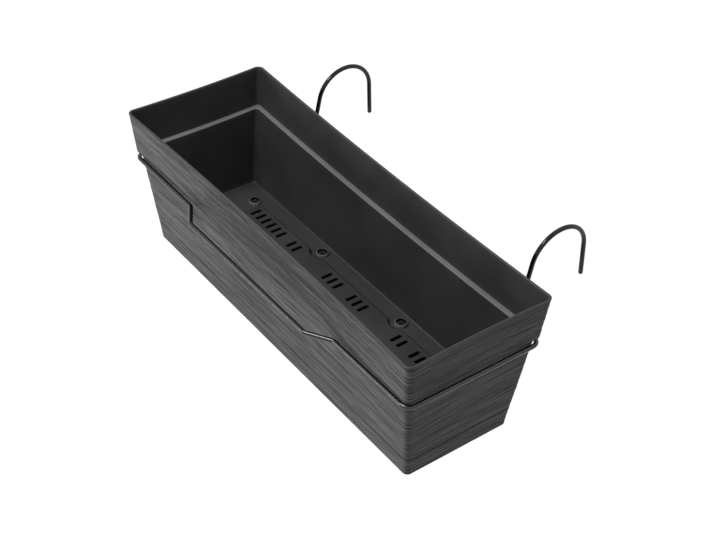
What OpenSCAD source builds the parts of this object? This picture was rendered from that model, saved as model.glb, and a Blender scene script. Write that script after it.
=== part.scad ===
/* [Planter body] */
// Length of the rim, end to end
rim_l = 500; // [400:1:640]
// Width of the rim, front to rail side
rim_w = 175; // [150:1:230]
// Height from the table to the rim
planter_h = 168; // [140:1:220]
// Height of the upper band that overhangs the body
band_h = 49; // [35:1:60]
// How far each end of the band flares from its foot to the rim
band_flare_l = 4; // [0:0.1:8]
// How far each long side of the band flares from its foot to the rim
band_flare_w = 4.6; // [0:0.1:8]
// How far the band stands out from the lower body
band_step = 3.6; // [2:0.1:6]
// How far each end of the lower body draws in from the band to the table
body_taper_l = 11.5; // [4:0.1:20]
// How far each long side of the lower body draws in from the band to the table
body_taper_w = 14.8; // [4:0.1:20]
// Wall thickness of the band at the rim
rim_wall = 2.5; // [2:0.1:2.9]
// Wall thickness of the lower body at the floor
body_wall = 3; // [2:0.1:4.5]
// Wall thickness of the lower body at the ledge inside
shoulder_wall = 4.9; // [3.2:0.1:6]
// Thickness of the ledge between its underside outside and its top inside
ledge_t = 2; // [1:0.1:4]
// Thickness of the planter floor
floor_t = 2.4; // [2:0.1:4]
// Corner radius of the rim
rim_r = 7.5; // [6:0.5:16]
// Corner radius of the lower body at the table
base_r = 6; // [5.5:0.5:14]
// How far the long rim sides bow inwards at their middle
rim_bow_l = 4.4; // [0:0.1:8]
// How far the short rim sides bow inwards at their middle
rim_bow_w = 2; // [0:0.1:4]
// Height of the finger relief in the foot of the band, behind the wire grip
relief_h = 7; // [3:0.5:12]
// Width of the soft slope at each end of the finger relief
relief_slope = 8; // [3:0.5:12]
// Diameter of the drain holes in the planter floor
drain_d = 8; // [5:0.5:10]
// Distance between neighbouring drain holes along the floor
drain_pitch = 80; // [50:1:90]
// Distance of each row of drain holes from the middle line
drain_row = 14; // [8:0.5:17]

/* [Drip tray] */
// Height of the clip-on tray
tray_h = 22.9; // [18:0.1:34]
// Wall thickness of the tray
tray_wall = 2.2; // [1.5:0.1:3]
// Thickness of the tray floor
tray_floor_t = 2.2; // [1.5:0.1:4]
// How far the tray lies inside the line of the body above it
tray_inset = 0.1; // [0:0.1:2]
// Height of the dark groove between the tray and the body
seam_gap = 1.1; // [0.3:0.1:2]
// How deep the planter floor reaches into the tray
spigot_h = 1.6; // [1:0.1:1.8]
// Height and width of the chamfer round the foot of the tray
tray_chamfer = 1.5; // [0.5:0.1:3]

/* [Snap pegs] */
// Bore of the collars that the tray's pegs come up through
peg_hole_d = 10.6; // [10:0.1:12]
// Diameter of the peg shank
peg_d = 7.6; // [6.4:0.1:8]
// Diameter of the head of the peg
peg_head_d = 9.8; // [8.4:0.1:9.8]
// Height of the head of the peg
peg_head_h = 2.6; // [1.5:0.1:4]
// Bore down the middle of the peg
peg_bore_d = 4.6; // [3:0.1:4.8]
// Width of the cross slits that split the peg
peg_slit = 1.4; // [0.8:0.1:2]
// Diameter of the post that carries each peg
post_d = 14; // [12:0.5:18]
// Height of the collars above the planter floor
collar_h = 3; // [2:0.1:4]
// Wall thickness of the collars
collar_wall = 1.9; // [1:0.1:2.2]
// Distance of the four corner pegs from the ends of the floor
corner_peg_end = 35; // [30:0.5:38]
// Distance of the four middle pegs from the centre of the floor, along it
mid_peg_x = 72; // [66:0.5:76]
// Distance of the four middle pegs from the long edges of the floor
mid_peg_side = 13.5; // [10:0.5:16]

/* [Drainage grid] */
// Height of the grid's top above the planter floor
grid_h = 4.8; // [4.4:0.1:8]
// Thickness of the grid's top plate and of its skirt
grid_t = 2; // [1.2:0.1:2.5]
// Width of floor left clear along each long side of the grid
grid_margin_w = 22; // [18:0.5:24]
// Width of floor left clear at each end of the grid
grid_margin_l = 50; // [48:0.5:60]
// Radius of the notches that clear the middle collars
notch_r = 14; // [12:0.5:17]
// Length of each slot
slot_l = 13.5; // [8:0.5:18]
// Width of each slot
slot_w = 3.5; // [2:0.1:5]
// Distance between neighbouring slots
slot_pitch = 10.25; // [9:0.05:10.5]
// Distance of each row of slots from the long edge of the grid
slot_side = 13.3; // [10:0.1:14]
// Distance between the two slots nearest the middle
slot_mid_gap = 24.8; // [14:0.1:30]
// Distance from the middle pegs to the first slot of the outer groups
slot_outer_start = 19; // [17:0.1:22]
// Least distance from the last slot to the end of the grid
slot_end = 5; // [4:0.5:8]

/* [Wire holder] */
// Diameter of the wire
wire_d = 5; // [4:0.1:6]
// Height of the wire loop's centre below the foot of the band
loop_drop = 8; // [5:0.1:20]
// Clearance between the loop and the long sides of the body
loop_fit_w = 0.3; // [0.2:0.1:1]
// Clearance between the loop and the ends of the body
loop_fit_l = 0.5; // [0.3:0.1:2]
// How far the grip in the front of the loop stands out
grip_out = 16.3; // [8:0.1:30]
// Length of the straight middle of the grip
grip_l = 208; // [120:1:260]
// Length along the front that each slanted end of the grip takes
grip_slant_l = 26; // [16:1:40]
// Bend radius of the wire, to its centre
bend_r = 8; // [6:0.5:9]
// Distance of each hook from the end of the rim
hook_end = 68.8; // [65:0.2:120]
// Clear width between the legs of each hook, the widest rail that fits
hook_gap = 66; // [40:0.5:90]
// How far the hooks stand above the rim
hook_rise = 10; // [5:0.5:80]
// Clear distance between the rim and the bend of the hooks
hook_standoff = 32.25; // [18:0.25:50]
// Straight length of each hook's far leg
tip_l = 39; // [20:1:80]
// Outward lean of each hook's far leg, in degrees
tip_splay = 3.5; // [0:0.5:10]
// Lean of each hook's near leg, away from the planter towards its bend, in degrees
leg_lean = 11; // [0:0.5:12]
// Length of each hook's foot that is lapped along the loop
lap_l = 44; // [34:1:60]
// Length of each weld bead
bead_l = 7; // [4:0.5:9]

/* [Hidden] */

// Overrun of every cut past the face it opens
cut = 1;
// Clearance between the tray and the planter floor that reaches into it
tray_fit = 0.3;
// Clearance under a piece that stands on the planter floor, or that the floor stands on
rest_fit = 0.2;
// Gap between the foot of a hook and the loop that it is welded to
weld_gap = 0.1;
// Radial thickness of the weld that closes the loop
bead_t = 0.7;
// How far the slits of a peg stop above the shoulder of its post
slit_stop = 0.6;
// How far the tip of a peg stays below the rim of its collar
peg_sink = 2;
// How far the finger relief stays proud of the lower body
relief_lip = 0.3;
// Height over which the top of the finger relief comes out to the band
relief_edge = 0.8;
// Corner radius of the slots
slot_r = 0.8;
// Corner radius of the drainage grid, and of the mouths of its notches
grid_r = 4;
// Roundness of cylinders
$fn = 48;

// Facets of the lofted walls: per corner, and per stretch of height
corner_steps = 6;
height_steps = 4;
// Facets of the wire: round it, per small bend, and per quarter of a hook
wire_sides = 16;
bend_steps = 6;
hook_steps = 12;
// Stations of a wire nearer to each other than this are one
least_step = 0.01;
// Shares that place the points of a long wall between its corner and its middle
corner_shares = [1 / 3, 2 / 3];
middle_shares = [1 / 3, 2 / 3];
// Shares that place the points of a short wall from its corner to its other corner
end_wall_shares = [1 / 4, 1 / 2, 3 / 4];
// Share of the wire's radius that its rounded tip takes
tip_share = 0.6;

// Heights of the planter, from the table
seam_z = tray_h + seam_gap;
under_z = seam_z - spigot_h;
floor_z = under_z + floor_t;
band_z = planter_h - band_h;
ledge_z = band_z + ledge_t;

// Half sizes of the planter, [along, across]
rim_half = [rim_l / 2, rim_w / 2];
band_half = rim_half - [band_flare_l, band_flare_w];
shoulder_half = band_half - [band_step, band_step];
base_half = shoulder_half - [body_taper_l, body_taper_w];
floor_half = body_half(floor_z) - [body_wall, body_wall];

// Places of the pegs, mirrored to all four quarters
grid_half = floor_half - [grid_margin_l, grid_margin_w];
corner_peg = [floor_half.x - corner_peg_end, grid_half.y];
mid_peg = [mid_peg_x, floor_half.y - mid_peg_side];
collar_d = peg_hole_d + 2 * collar_wall;
collar_z = floor_z + collar_h;

// Places of the slots on either side of the middle, with a rib after the second outer one
middle_slots = 3;
rib_slot = 2;
slot_outer_x = mid_peg_x + slot_outer_start;
outer_slots = floor((grid_half.x - slot_end - slot_outer_x) / slot_pitch);
slot_places = concat(
    [for (i = [0:middle_slots - 1]) slot_mid_gap / 2 + i * slot_pitch],
    [for (i = [0:outer_slots]) if (i != rib_slot) slot_outer_x + i * slot_pitch]);
slot_row = grid_half.y - slot_side;
drain_columns = [-2, -1, 0, 1, 2];

// Heights and places of the wire, to its centre
wire_r = wire_d / 2;
loop_z = band_z - loop_drop;
loop_half = body_half(loop_z + wire_r) + [loop_fit_l + wire_r, loop_fit_w + wire_r];
loop_r = body_radius(loop_z) + wire_r + loop_fit_w;
grip_x = grip_l / 2;
grip_y = -loop_half.y - grip_out;
slant_x = grip_x + grip_slant_l;
hook_r = (hook_gap + wire_d) / 2;
hook_x = rim_half.x - hook_end;
near_y = rim_half.y + hook_standoff + wire_r;
crown_z = planter_h + hook_rise - wire_r;
far_bend = 90 - tip_splay;
near_bend = 90 - leg_lean;
far_corner_y = near_y + hook_r + hook_r * tan(far_bend / 2);
near_corner_y = near_y + hook_r - hook_r * tan(near_bend / 2);
foot_y = near_corner_y - (crown_z - loop_z) * tan(leg_lean);
tip_reach = tip_l + hook_r * tan(far_bend / 2);
lap_y = loop_half.y + wire_d + weld_gap;

// Lower and upper half length of the finger relief, which ends where the grip does
relief_low_x = slant_x - wire_d;
relief_high_x = grip_x;

// The origin is where the hooks rest on the rail, midway between them
saddle = [0, near_y + hook_r, crown_z - wire_r];

// Half size of the lower body at height z
function body_half(z) = base_half + (shoulder_half - base_half) * z / band_z;

// Half size of the band at height z
function band_size(z) = band_half + (rim_half - band_half) * (z - band_z) / band_h;

// Corner radius of the planter at height z
function body_radius(z) = base_r + (rim_r - base_r) * z / planter_h;

// Half size of the hollow in the lower body at height z
function hollow_half(z) =
    let (wall = body_wall + (shoulder_wall - body_wall) * (z - floor_z) / (ledge_z - floor_z))
    body_half(z) - [wall, wall];

// Inward bow of the walls at height z: none at the seam, all of it at the rim
function bow_at(z) =
    let (t = max(0, (z - seam_z) / (planter_h - seam_z)))
    [rim_bow_w, rim_bow_l] * t * (2 - t);

// Half length of the finger relief at height z
function relief_x(z) =
    relief_low_x + (relief_high_x - relief_low_x) * min(max((z - band_z) / relief_h, 0), 1);

// How far the finger relief goes into the band at height z
function relief_depth(z) = band_size(z).y - body_half(z).y - relief_lip;

// Heights that divide the stretch from low to high
function heights(low, high) =
    [for (i = [0:height_steps]) low + (high - low) * i / height_steps];

// Corner of an outline at height z, as an arc of points from the angle start
function corner_points(z, half, r, sx, sy, start) =
    [for (i = [0:corner_steps])
        let (a = start + 90 * i / corner_steps)
        [sx * (half.x - r) + r * cos(a), sy * (half.y - r) + r * sin(a), z]];

// Places along a long wall at height z, from its corner at end to its other corner
function long_wall_places(z, end) =
    let (slope_out = relief_x(z), slope_in = slope_out - relief_slope,
         right = concat([for (s = corner_shares) end + (slope_out - end) * s],
                        [slope_out, slope_in],
                        [for (s = middle_shares) slope_in * (1 - s)]))
    concat(right, [0], [for (i = [len(right) - 1:-1:0]) -right[i]]);

// Long wall of an outline, on side 1 or -1, bowed inwards and dented behind the grip
function long_wall_points(z, half, r, side, dent) =
    let (end = half.x - r, slope_in = relief_x(z) - relief_slope)
    [for (x = long_wall_places(z, end))
        let (bow = bow_at(z).y * (1 - pow(x / end, 2)),
             inward = side < 0 && abs(x) <= slope_in ? bow + dent : bow)
        [side * x, side * (half.y - inward), z]];

// Short wall of an outline, on side 1 or -1, bowed inwards
function end_wall_points(z, half, r, side) =
    let (end = half.y - r)
    [for (s = end_wall_shares)
        let (y = end * (2 * s - 1), bow = bow_at(z).x * (1 - pow(y / end, 2)))
        [side * (half.x - bow), side * y, z]];

// Whole outline at height z, counterclockwise from above
function outline(z, half, r, dent = 0) = concat(
    corner_points(z, half, r, 1, 1, 0), long_wall_points(z, half, r, 1, dent),
    corner_points(z, half, r, -1, 1, 90), end_wall_points(z, half, r, -1),
    corner_points(z, half, r, -1, -1, 180), long_wall_points(z, half, r, -1, dent),
    corner_points(z, half, r, 1, -1, 270), end_wall_points(z, half, r, 1));

// Outline of the lower body at height z, drawn in by inset
function body_outline(z, inset = 0) =
    outline(z, body_half(z) - [inset, inset], body_radius(z) - inset);

// Outline of the band at height z, drawn in by inset
function band_outline(z, inset = 0, dent = 0) =
    outline(z, band_size(z) - [inset, inset], body_radius(z) - inset, dent);

// Outline of the hollow in the lower body at height z
function hollow_outline(z) = outline(z, hollow_half(z), body_radius(z) - body_wall);

// Outlines of the band from its foot at low, with the relief, up to high
function band_outlines(low, high, inset = 0) =
    let (top = low + relief_h)
    concat([for (z = [low, top]) band_outline(z, inset, relief_depth(z))],
           [for (z = heights(top + relief_edge, high)) band_outline(z, inset)]);

// Middle of a ring of points
function middle(ring) = [for (p = ring) 1] * ring / len(ring);

// Solid skin over rings of points; a closed one joins its last ring to its first
module skin(rings, closed = false) {
    count = len(rings);
    n = len(rings[0]);
    spans = closed ? count : count - 1;
    walls = [for (k = [0:spans - 1]) for (i = [0:n - 1])
        let (a = k * n, b = ((k + 1) % count) * n, j = (i + 1) % n)
        each [[a + i, b + i, a + j], [a + j, b + i, b + j]]];
    caps = closed ? [] : [for (i = [0:n - 1])
        let (j = (i + 1) % n, top = (count - 1) * n)
        each [[count * n, i, j], [count * n + 1, top + j, top + i]]];
    points = concat([for (ring = rings) each ring],
                    closed ? [] : [middle(rings[0]), middle(rings[count - 1])]);
    polyhedron(points, concat(walls, caps));
}

function unit(v) = v / norm(v);

// Vector v turned about an axis
function turned(v, axis, angle) =
    v * cos(angle) + cross(axis, v) * sin(angle) + axis * (axis * v) * (1 - cos(angle));

// Ring of wire round a station, given as [place, way, side, radius]
function wire_ring(station) =
    let (place = station[0], side = station[2], other = cross(station[1], side))
    [for (i = [0:wire_sides - 1])
        let (a = 360 * i / wire_sides)
        place + station[3] * (side * cos(a) + other * sin(a))];

// Stations along a bend of radius r at corner, coming in along u and leaving along v
function bend_stations(corner, u, v, side, r, steps) =
    let (axis = unit(cross(u, v)), angle = acos(u * v), inward = cross(axis, u),
         centre = corner - u * r * tan(angle / 2) + inward * r)
    [for (i = [0:steps])
        let (a = angle * i / steps)
        [centre - turned(inward, axis, a) * r, turned(u, axis, a),
         turned(side, axis, a), wire_r]];

// Stations of a wire from path[0], with a bend [radius, steps] at each inner point
function path_stations(path, bends, side, i = 1) =
    let (u = unit(path[i] - path[i - 1]),
         start = i == 1 ? [[path[0], u, side, wire_r]] : [])
    i == len(path) - 1 ? concat(start, [[path[i], u, side, wire_r]]) :
    let (v = unit(path[i + 1] - path[i]),
         corner = bend_stations(path[i], u, v, side, bends[i - 1][0], bends[i - 1][1]))
    concat(start, corner,
           path_stations(path, bends, corner[len(corner) - 1][2], i + 1));

// Stations without those that fall on the one before
function spaced(stations) =
    [for (i = [0:len(stations) - 1])
        if (i == 0 || norm(stations[i][0] - stations[max(i - 1, 0)][0]) > least_step)
            stations[i]];

// Stations with a rounded tip past the last one
function tipped(stations) =
    let (last = stations[len(stations) - 1])
    concat(stations, [for (a = [30, 60])
        [last[0] + last[1] * wire_r * tip_share * sin(a), last[1], last[2], wire_r * cos(a)]]);

// Each peg's place in turn, in all four quarters
module at_pegs() {
    for (p = [corner_peg, mid_peg], sx = [-1, 1], sy = [-1, 1])
        translate([sx * p.x, sy * p.y, 0]) children();
}

// Moved so that the hooks rest at the origin
module hung() {
    translate(-saddle) children();
}

// Planter: band, lower body and floor in one moulding
module planter_shell() color([0.27, 0.27, 0.28]) hung() {
    spigot_inset = tray_inset + tray_wall + tray_fit;
    difference() {
        union() {
            difference() {
                skin(concat([for (z = [under_z, seam_z]) body_outline(z, spigot_inset)],
                            [for (z = heights(seam_z, band_z)) body_outline(z)],
                            band_outlines(band_z, planter_h)));
                skin(concat([for (z = heights(floor_z, ledge_z)) hollow_outline(z)],
                            band_outlines(ledge_z, planter_h + cut, rim_wall)));
            }
            at_pegs() translate([0, 0, under_z + floor_t / 2])
                cylinder(d = collar_d, h = collar_z - under_z - floor_t / 2);
        }
        at_pegs() translate([0, 0, under_z - cut])
            cylinder(d = peg_hole_d, h = collar_z - under_z + 2 * cut);
        for (i = drain_columns, s = [-1, 1])
            translate([i * drain_pitch, s * drain_row, under_z - cut])
                cylinder(d = drain_d, h = floor_t + 2 * cut);
    }
}

// Split peg on its post, rooted in the tray floor
module snap_peg() {
    shoulder_z = under_z - rest_fit;
    top_z = collar_z - peg_sink;
    head_z = top_z - peg_head_h;
    slit_z = shoulder_z + slit_stop;
    difference() {
        rotate_extrude() polygon([
            [0, tray_floor_t / 2], [post_d / 2, tray_floor_t / 2],
            [post_d / 2, shoulder_z], [peg_d / 2, shoulder_z],
            [peg_d / 2, head_z], [peg_head_d / 2, head_z + peg_head_h / 3],
            [peg_d / 2, top_z], [peg_bore_d / 2, top_z],
            [peg_bore_d / 2, tray_floor_t], [0, tray_floor_t]]);
        for (turn = [0, 90]) rotate([0, 0, turn])
            translate([-peg_head_d / 2 - cut, -peg_slit / 2, slit_z])
                cube([peg_head_d + 2 * cut, peg_slit, top_z - slit_z + cut]);
    }
}

// Tray that clips under the planter and holds the drained water
module drip_tray() color([0.25, 0.25, 0.26]) hung() {
    difference() {
        skin([body_outline(0, tray_inset + tray_chamfer),
              body_outline(tray_chamfer, tray_inset), body_outline(tray_h, tray_inset)]);
        skin([for (z = [tray_floor_t, tray_h + cut]) body_outline(z, tray_inset + tray_wall)]);
    }
    at_pegs() snap_peg();
}

// Plan of the drainage grid, drawn in by inset all round
module grid_plan(inset = 0) {
    r = grid_r - inset;
    half = grid_half - [inset, inset];
    difference() {
        union() {
            for (sx = [-1, 1], sy = [-1, 1])
                translate([sx * (half.x - r), sy * (half.y - r)]) circle(r);
            square(2 * [half.x - r, half.y], center = true);
            square(2 * [half.x, half.y - r], center = true);
        }
        for (sx = [-1, 1], sy = [-1, 1])
            translate([sx * mid_peg.x, sy * mid_peg.y]) scale([1, sy]) notch_plan(inset);
    }
}

// Notch with a rounded mouth, seen from the collar that it clears, with the grid below it
module notch_plan(inset) {
    reach = notch_r + grid_r;
    edge = grid_half.y - mid_peg.y;
    round_y = edge - grid_r;
    round_x = sqrt(reach ^ 2 - round_y ^ 2);
    meet = [round_x, round_y] * (notch_r + inset) / reach;
    circle(notch_r + inset);
    for (side = [-1, 1]) scale([side, 1]) difference() {
        polygon([[0, meet.y], meet, [round_x, round_y],
                 [round_x, edge + cut], [0, edge + cut]]);
        translate([round_x, round_y]) circle(grid_r - inset);
    }
}

// One slot with rounded corners
module slot_plan() {
    inner = [slot_w / 2 - slot_r, slot_l / 2 - slot_r];
    for (sx = [-1, 1], sy = [-1, 1])
        translate([sx * inner.x, sy * inner.y]) circle(slot_r);
    square([2 * inner.x, slot_l], center = true);
    square([slot_w, 2 * inner.y], center = true);
}

// Raised slotted grid that lies on the floor and keeps the soil off the drains
module drainage_grid() color([0.26, 0.26, 0.27]) hung() {
    bottom = floor_z + rest_fit;
    top = floor_z + grid_h;
    difference() {
        translate([0, 0, bottom]) linear_extrude(top - bottom) grid_plan();
        translate([0, 0, bottom - cut]) linear_extrude(top - bottom - grid_t + cut)
            grid_plan(grid_t);
        for (x = slot_places, sx = [-1, 1], sy = [-1, 1])
            translate([sx * x, sy * slot_row, bottom]) linear_extrude(top - bottom + cut)
                slot_plan();
    }
}

// Loop that the planter hangs in, with a grip that stands out in front
module support_loop() color([0.08, 0.08, 0.08]) hung() {
    start = [0, loop_half.y, loop_z];
    path = [start,
            [-loop_half.x, loop_half.y, loop_z], [-loop_half.x, -loop_half.y, loop_z],
            [-slant_x, -loop_half.y, loop_z], [-grip_x, grip_y, loop_z],
            [grip_x, grip_y, loop_z], [slant_x, -loop_half.y, loop_z],
            [loop_half.x, -loop_half.y, loop_z], [loop_half.x, loop_half.y, loop_z],
            start];
    corner = [loop_r, bend_steps];
    bend = [bend_r, bend_steps];
    stations = path_stations(path, [corner, corner, bend, bend, bend, bend, corner, corner],
                             [0, 0, 1]);
    skin([for (i = [0:len(stations) - 2]) wire_ring(stations[i])], closed = true);
}

// Hook on the +X side, from its lapped foot over the rail to its tip
module hook_wire() {
    path = [[hook_x - lap_l, lap_y, loop_z], [hook_x, lap_y, loop_z],
            [hook_x, foot_y, loop_z], [hook_x, near_corner_y, crown_z],
            [hook_x, far_corner_y, crown_z],
            [hook_x, far_corner_y + tip_reach * sin(tip_splay),
             crown_z - tip_reach * cos(tip_splay)]];
    bend = [bend_r, bend_steps];
    crown = [hook_r, hook_steps];
    stations = tipped(spaced(path_stations(path, [bend, bend, crown, crown], [0, 0, 1])));
    skin([for (station = stations) wire_ring(station)]);
}

module hook_right() color([0.08, 0.08, 0.08]) hung() hook_wire();

module hook_left() color([0.08, 0.08, 0.08]) hung() mirror([1, 0, 0]) hook_wire();

// Rod of weld metal along the wire's way, centred at place
module bead_rod(place, r) {
    translate(place - [bead_l / 2, 0, 0]) rotate([0, 90, 0]) cylinder(r = r, h = bead_l);
}

// Room for a wire that runs past a bead, centred at place
module bead_room(place) {
    translate(place - [bead_l / 2 + cut, 0, 0]) rotate([0, 90, 0])
        cylinder(d = wire_d, h = bead_l + 2 * cut);
}

// Bead that fills the groove between a hook's foot and the loop, centred at x
module lap_bead(x) {
    difference() {
        bead_rod([x, (loop_half.y + lap_y) / 2, loop_z], wire_r - weld_gap);
        for (y = [loop_half.y, lap_y]) bead_room([x, y, loop_z]);
    }
}

// Welds that join the hooks to the loop, and the loop to itself
module weld_beads() color([0.1, 0.1, 0.1]) hung() {
    inner_x = hook_x - lap_l + bead_l;
    outer_x = hook_x - bend_r - bead_l;
    for (x = [inner_x, outer_x], s = [-1, 1]) lap_bead(s * x);
    difference() {
        bead_rod([0, loop_half.y, loop_z], wire_r + bead_t);
        bead_room([0, loop_half.y, loop_z]);
    }
}

planter_shell();
drip_tray();
drainage_grid();
support_loop();
hook_left();
hook_right();
weld_beads();
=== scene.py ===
"""Dresses the window box planter: grained plastic mouldings in a black wire holder.

Lengths are in metres. The planter's own frame has its origin on the table under
its middle; Layout.placed moves it to the shared frame, whose origin is the saddle
of the hooks on the rail.
"""

import logging
import math
from collections.abc import Callable, Iterable, Sequence
from dataclasses import dataclass, field, fields
from enum import Enum, IntEnum

import bmesh
import bpy
import numpy as np
from mathutils import Matrix, Vector, geometry


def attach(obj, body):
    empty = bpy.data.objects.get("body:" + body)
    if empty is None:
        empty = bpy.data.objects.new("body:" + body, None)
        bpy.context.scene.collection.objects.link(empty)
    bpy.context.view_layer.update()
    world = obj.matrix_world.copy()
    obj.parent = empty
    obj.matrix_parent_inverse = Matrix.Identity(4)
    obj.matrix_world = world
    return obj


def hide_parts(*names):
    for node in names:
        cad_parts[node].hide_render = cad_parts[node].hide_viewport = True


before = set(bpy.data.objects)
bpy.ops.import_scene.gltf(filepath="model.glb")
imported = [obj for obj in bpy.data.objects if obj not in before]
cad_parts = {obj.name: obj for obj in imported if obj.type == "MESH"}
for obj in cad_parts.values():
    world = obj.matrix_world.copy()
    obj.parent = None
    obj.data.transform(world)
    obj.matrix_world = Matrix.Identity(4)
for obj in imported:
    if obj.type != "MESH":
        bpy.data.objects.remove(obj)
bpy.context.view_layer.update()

LOG = logging.getLogger("planter")
MM = 0.001
SHARP_ANGLE = math.radians(38)
MERGE_DISTANCE = 1e-7
WHITE = (1.0, 1.0, 1.0, 1.0)


class Body(Enum):
    """Rigid bodies that pieces ride on."""

    HOLDER = "holder"
    PLANTER = "planter"
    TRAY = "tray"
    GRID = "grid"


class Slot(Enum):
    """Material slots of the record."""

    PLANTER = "planter_plastic"
    TRAY = "tray_plastic"
    GRID = "grid_plastic"
    WIRE = "coated_wire"
    WELD = "coated_weld"


class ShellFinish(IntEnum):
    """Places of the planter shell's finishes among its materials: the grain, the smooth inside
    darkened as painted shade, the edge lightened as a painted highlight, and painted shade.
    """

    GRAINED = 0
    INSIDE = 1
    EDGE = 2
    PAINTED_SHADE = 3


class TrayFinish(IntEnum):
    """Places of the drip tray's finishes among its materials: the grain, the smooth inside
    darkened as painted shade, and painted shade.
    """

    GRAINED = 0
    INSIDE = 1
    PAINTED_SHADE = 2


class GridFinish(IntEnum):
    """Places of the drainage grid's finishes among its materials: the top face, and painted
    shade.
    """

    FACE = 0
    PAINTED_SHADE = 1


def smooth_step(value: np.ndarray) -> np.ndarray:
    """Eases numbers from 0 to 1, and clips those outside."""
    t = np.clip(value, 0, 1)
    return t * t * (3 - 2 * t)


def rounding(radius: float, start: float, end: float, steps: int) -> list[tuple[float, float]]:
    """Samples a rounded edge of a quarter turn or less.

    Args:
        radius: its radius.
        start: angle of its first point, in degrees.
        end: angle of its last point, in degrees.
        steps: number of steps between them.

    Returns:
        For each point, how far cosine and sine times the radius fall short of it.
    """
    angles = np.radians(np.linspace(start, end, steps + 1))
    across, along = radius * (1 - np.cos(angles)), radius * (1 - np.sin(angles))
    return list(zip(across, along))


def quarter_sign(quarter: int) -> np.ndarray:
    """Gives the signs of x and y in a quarter, counted counterclockwise from 0."""
    return np.array([1 if quarter in (0, 3) else -1, 1 if quarter < 2 else -1])


def directions(angles: np.ndarray) -> np.ndarray:
    """Gives the unit vector at each angle, as rows of x and y."""
    return np.column_stack([np.cos(angles), np.sin(angles)])


def quarter_arc(quarter: int, steps: int) -> np.ndarray:
    """Samples a quarter of the unit circle, as rows of x and y."""
    return directions(math.pi / 2 * quarter + np.linspace(0, math.pi / 2, steps + 1))


def circle(centre: Sequence[float], radius: float, steps: int = 40) -> np.ndarray:
    """Samples a circle as rows of x and y."""
    angles = np.linspace(0, 2 * math.pi, steps, endpoint=False)
    return np.asarray(centre) + radius * directions(angles)


@dataclass(frozen=True)
class Layout:
    """Sizes that the pieces share, as the frame has them."""

    rim_length: float = 500 * MM
    rim_width: float = 175 * MM
    height: float = 168 * MM
    band_height: float = 49 * MM
    band_flare_length: float = 4 * MM
    band_flare_width: float = 4.6 * MM
    band_step: float = 3.6 * MM
    taper_length: float = 11.5 * MM
    taper_width: float = 14.8 * MM
    rim_radius: float = 7.5 * MM
    base_radius: float = 6 * MM
    rim_bow_long: float = 4.4 * MM
    rim_bow_end: float = 2 * MM
    seam: float = 24 * MM
    saddle_y: float = 157.75 * MM
    saddle_z: float = 173 * MM
    wire: float = 5 * MM
    loop_z: float = 111 * MM

    @property
    def band_foot(self) -> float:
        """Height of the band's lower edge."""
        return self.height - self.band_height

    @property
    def rim_half(self) -> np.ndarray:
        """Half length and half width of the rim."""
        return np.array([self.rim_length, self.rim_width]) / 2

    @property
    def shoulder_half(self) -> np.ndarray:
        """Half size of the lower body just under the band."""
        flare = np.array([self.band_flare_length, self.band_flare_width])
        return self.rim_half - flare - self.band_step

    def body_half(self, z: float) -> np.ndarray:
        """Half size of the lower body at height z."""
        taper = np.array([self.taper_length, self.taper_width])
        return self.shoulder_half - taper * (1 - z / self.band_foot)

    def band_half(self, z: float) -> np.ndarray:
        """Half size of the band at height z."""
        flare = np.array([self.band_flare_length, self.band_flare_width])
        return self.rim_half - flare * (self.height - z) / self.band_height

    def radius(self, z: float) -> float:
        """Corner radius at height z."""
        return self.base_radius + (self.rim_radius - self.base_radius) * z / self.height

    def bow(self, z: float) -> np.ndarray:
        """Inward bow of the short and the long walls at height z."""
        t = max(0.0, (z - self.seam) / (self.height - self.seam))
        return np.array([self.rim_bow_end, self.rim_bow_long]) * t * (2 - t)

    def placed(self, points: np.ndarray) -> np.ndarray:
        """Moves points from the planter's own frame to the shared frame."""
        return np.asarray(points, float) - np.array([0, self.saddle_y, self.saddle_z])


LAYOUT = Layout()


@dataclass(frozen=True)
class Relief:
    """Finger relief in the foot of the band, behind the grip of the wire."""

    low_x: float = 125 * MM
    high_x: float = 104 * MM
    height: float = 7 * MM
    slope: float = 8 * MM
    edge: float = 1.6 * MM

    def share(self, points: np.ndarray, foot: float) -> np.ndarray:
        """Gives how much of its full depth the relief has at each point.

        Args:
            points: rows of x, y, z in the planter's frame.
            foot: height at which the relief starts.

        Returns:
            Shares from 0, none, to 1, at the full depth.
        """
        x, y, z = points.T
        rise = np.clip((z - foot) / self.height, 0, 1)
        reach = self.low_x + (self.high_x - self.low_x) * rise
        along = smooth_step((reach - np.abs(x)) / self.slope)
        up = smooth_step((foot + self.height - z) / self.edge + 0.5)
        return np.where(y < 0, along * up, 0.0)


class ValueNoise:
    """Smooth seeded noise over space, from -1 to 1."""

    PRIMES = (73856093, 19349663, 83492791)

    def __init__(self, seed: int, size: int = 8192) -> None:
        """Fills the table from the seed with size values, a power of two."""
        self.table = np.random.default_rng(seed).uniform(-1, 1, size)
        self.mask = size - 1

    def corner(self, cell: np.ndarray) -> np.ndarray:
        """Gives the random values at whole-number places.

        Args:
            cell: rows of whole numbers, one for each axis.

        Returns:
            One value per row, from -1 to 1.
        """
        mixed = np.zeros(len(cell), dtype=np.int64)
        for axis, prime in enumerate(self.PRIMES):
            mixed ^= cell[:, axis] * prime
        return self.table[mixed & self.mask]

    def at(self, points: np.ndarray, lengths: Sequence[float]) -> np.ndarray:
        """Samples the noise.

        Args:
            points: rows of x, y, z.
            lengths: size of a noise cell along each axis.

        Returns:
            One value per point.
        """
        scaled = points / np.asarray(lengths)
        cell = np.floor(scaled).astype(np.int64)
        t = scaled - cell
        # A quintic ease, so that the slopes meet where the cells do.
        t = t * t * t * (t * (6 * t - 15) + 10)
        total = np.zeros(len(points))
        for dx in (0, 1):
            for dy in (0, 1):
                for dz in (0, 1):
                    step = np.array([dx, dy, dz])
                    weight = np.prod(np.where(step, t, 1 - t), axis=1)
                    total += weight * self.corner(cell + step)
        return total


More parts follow.
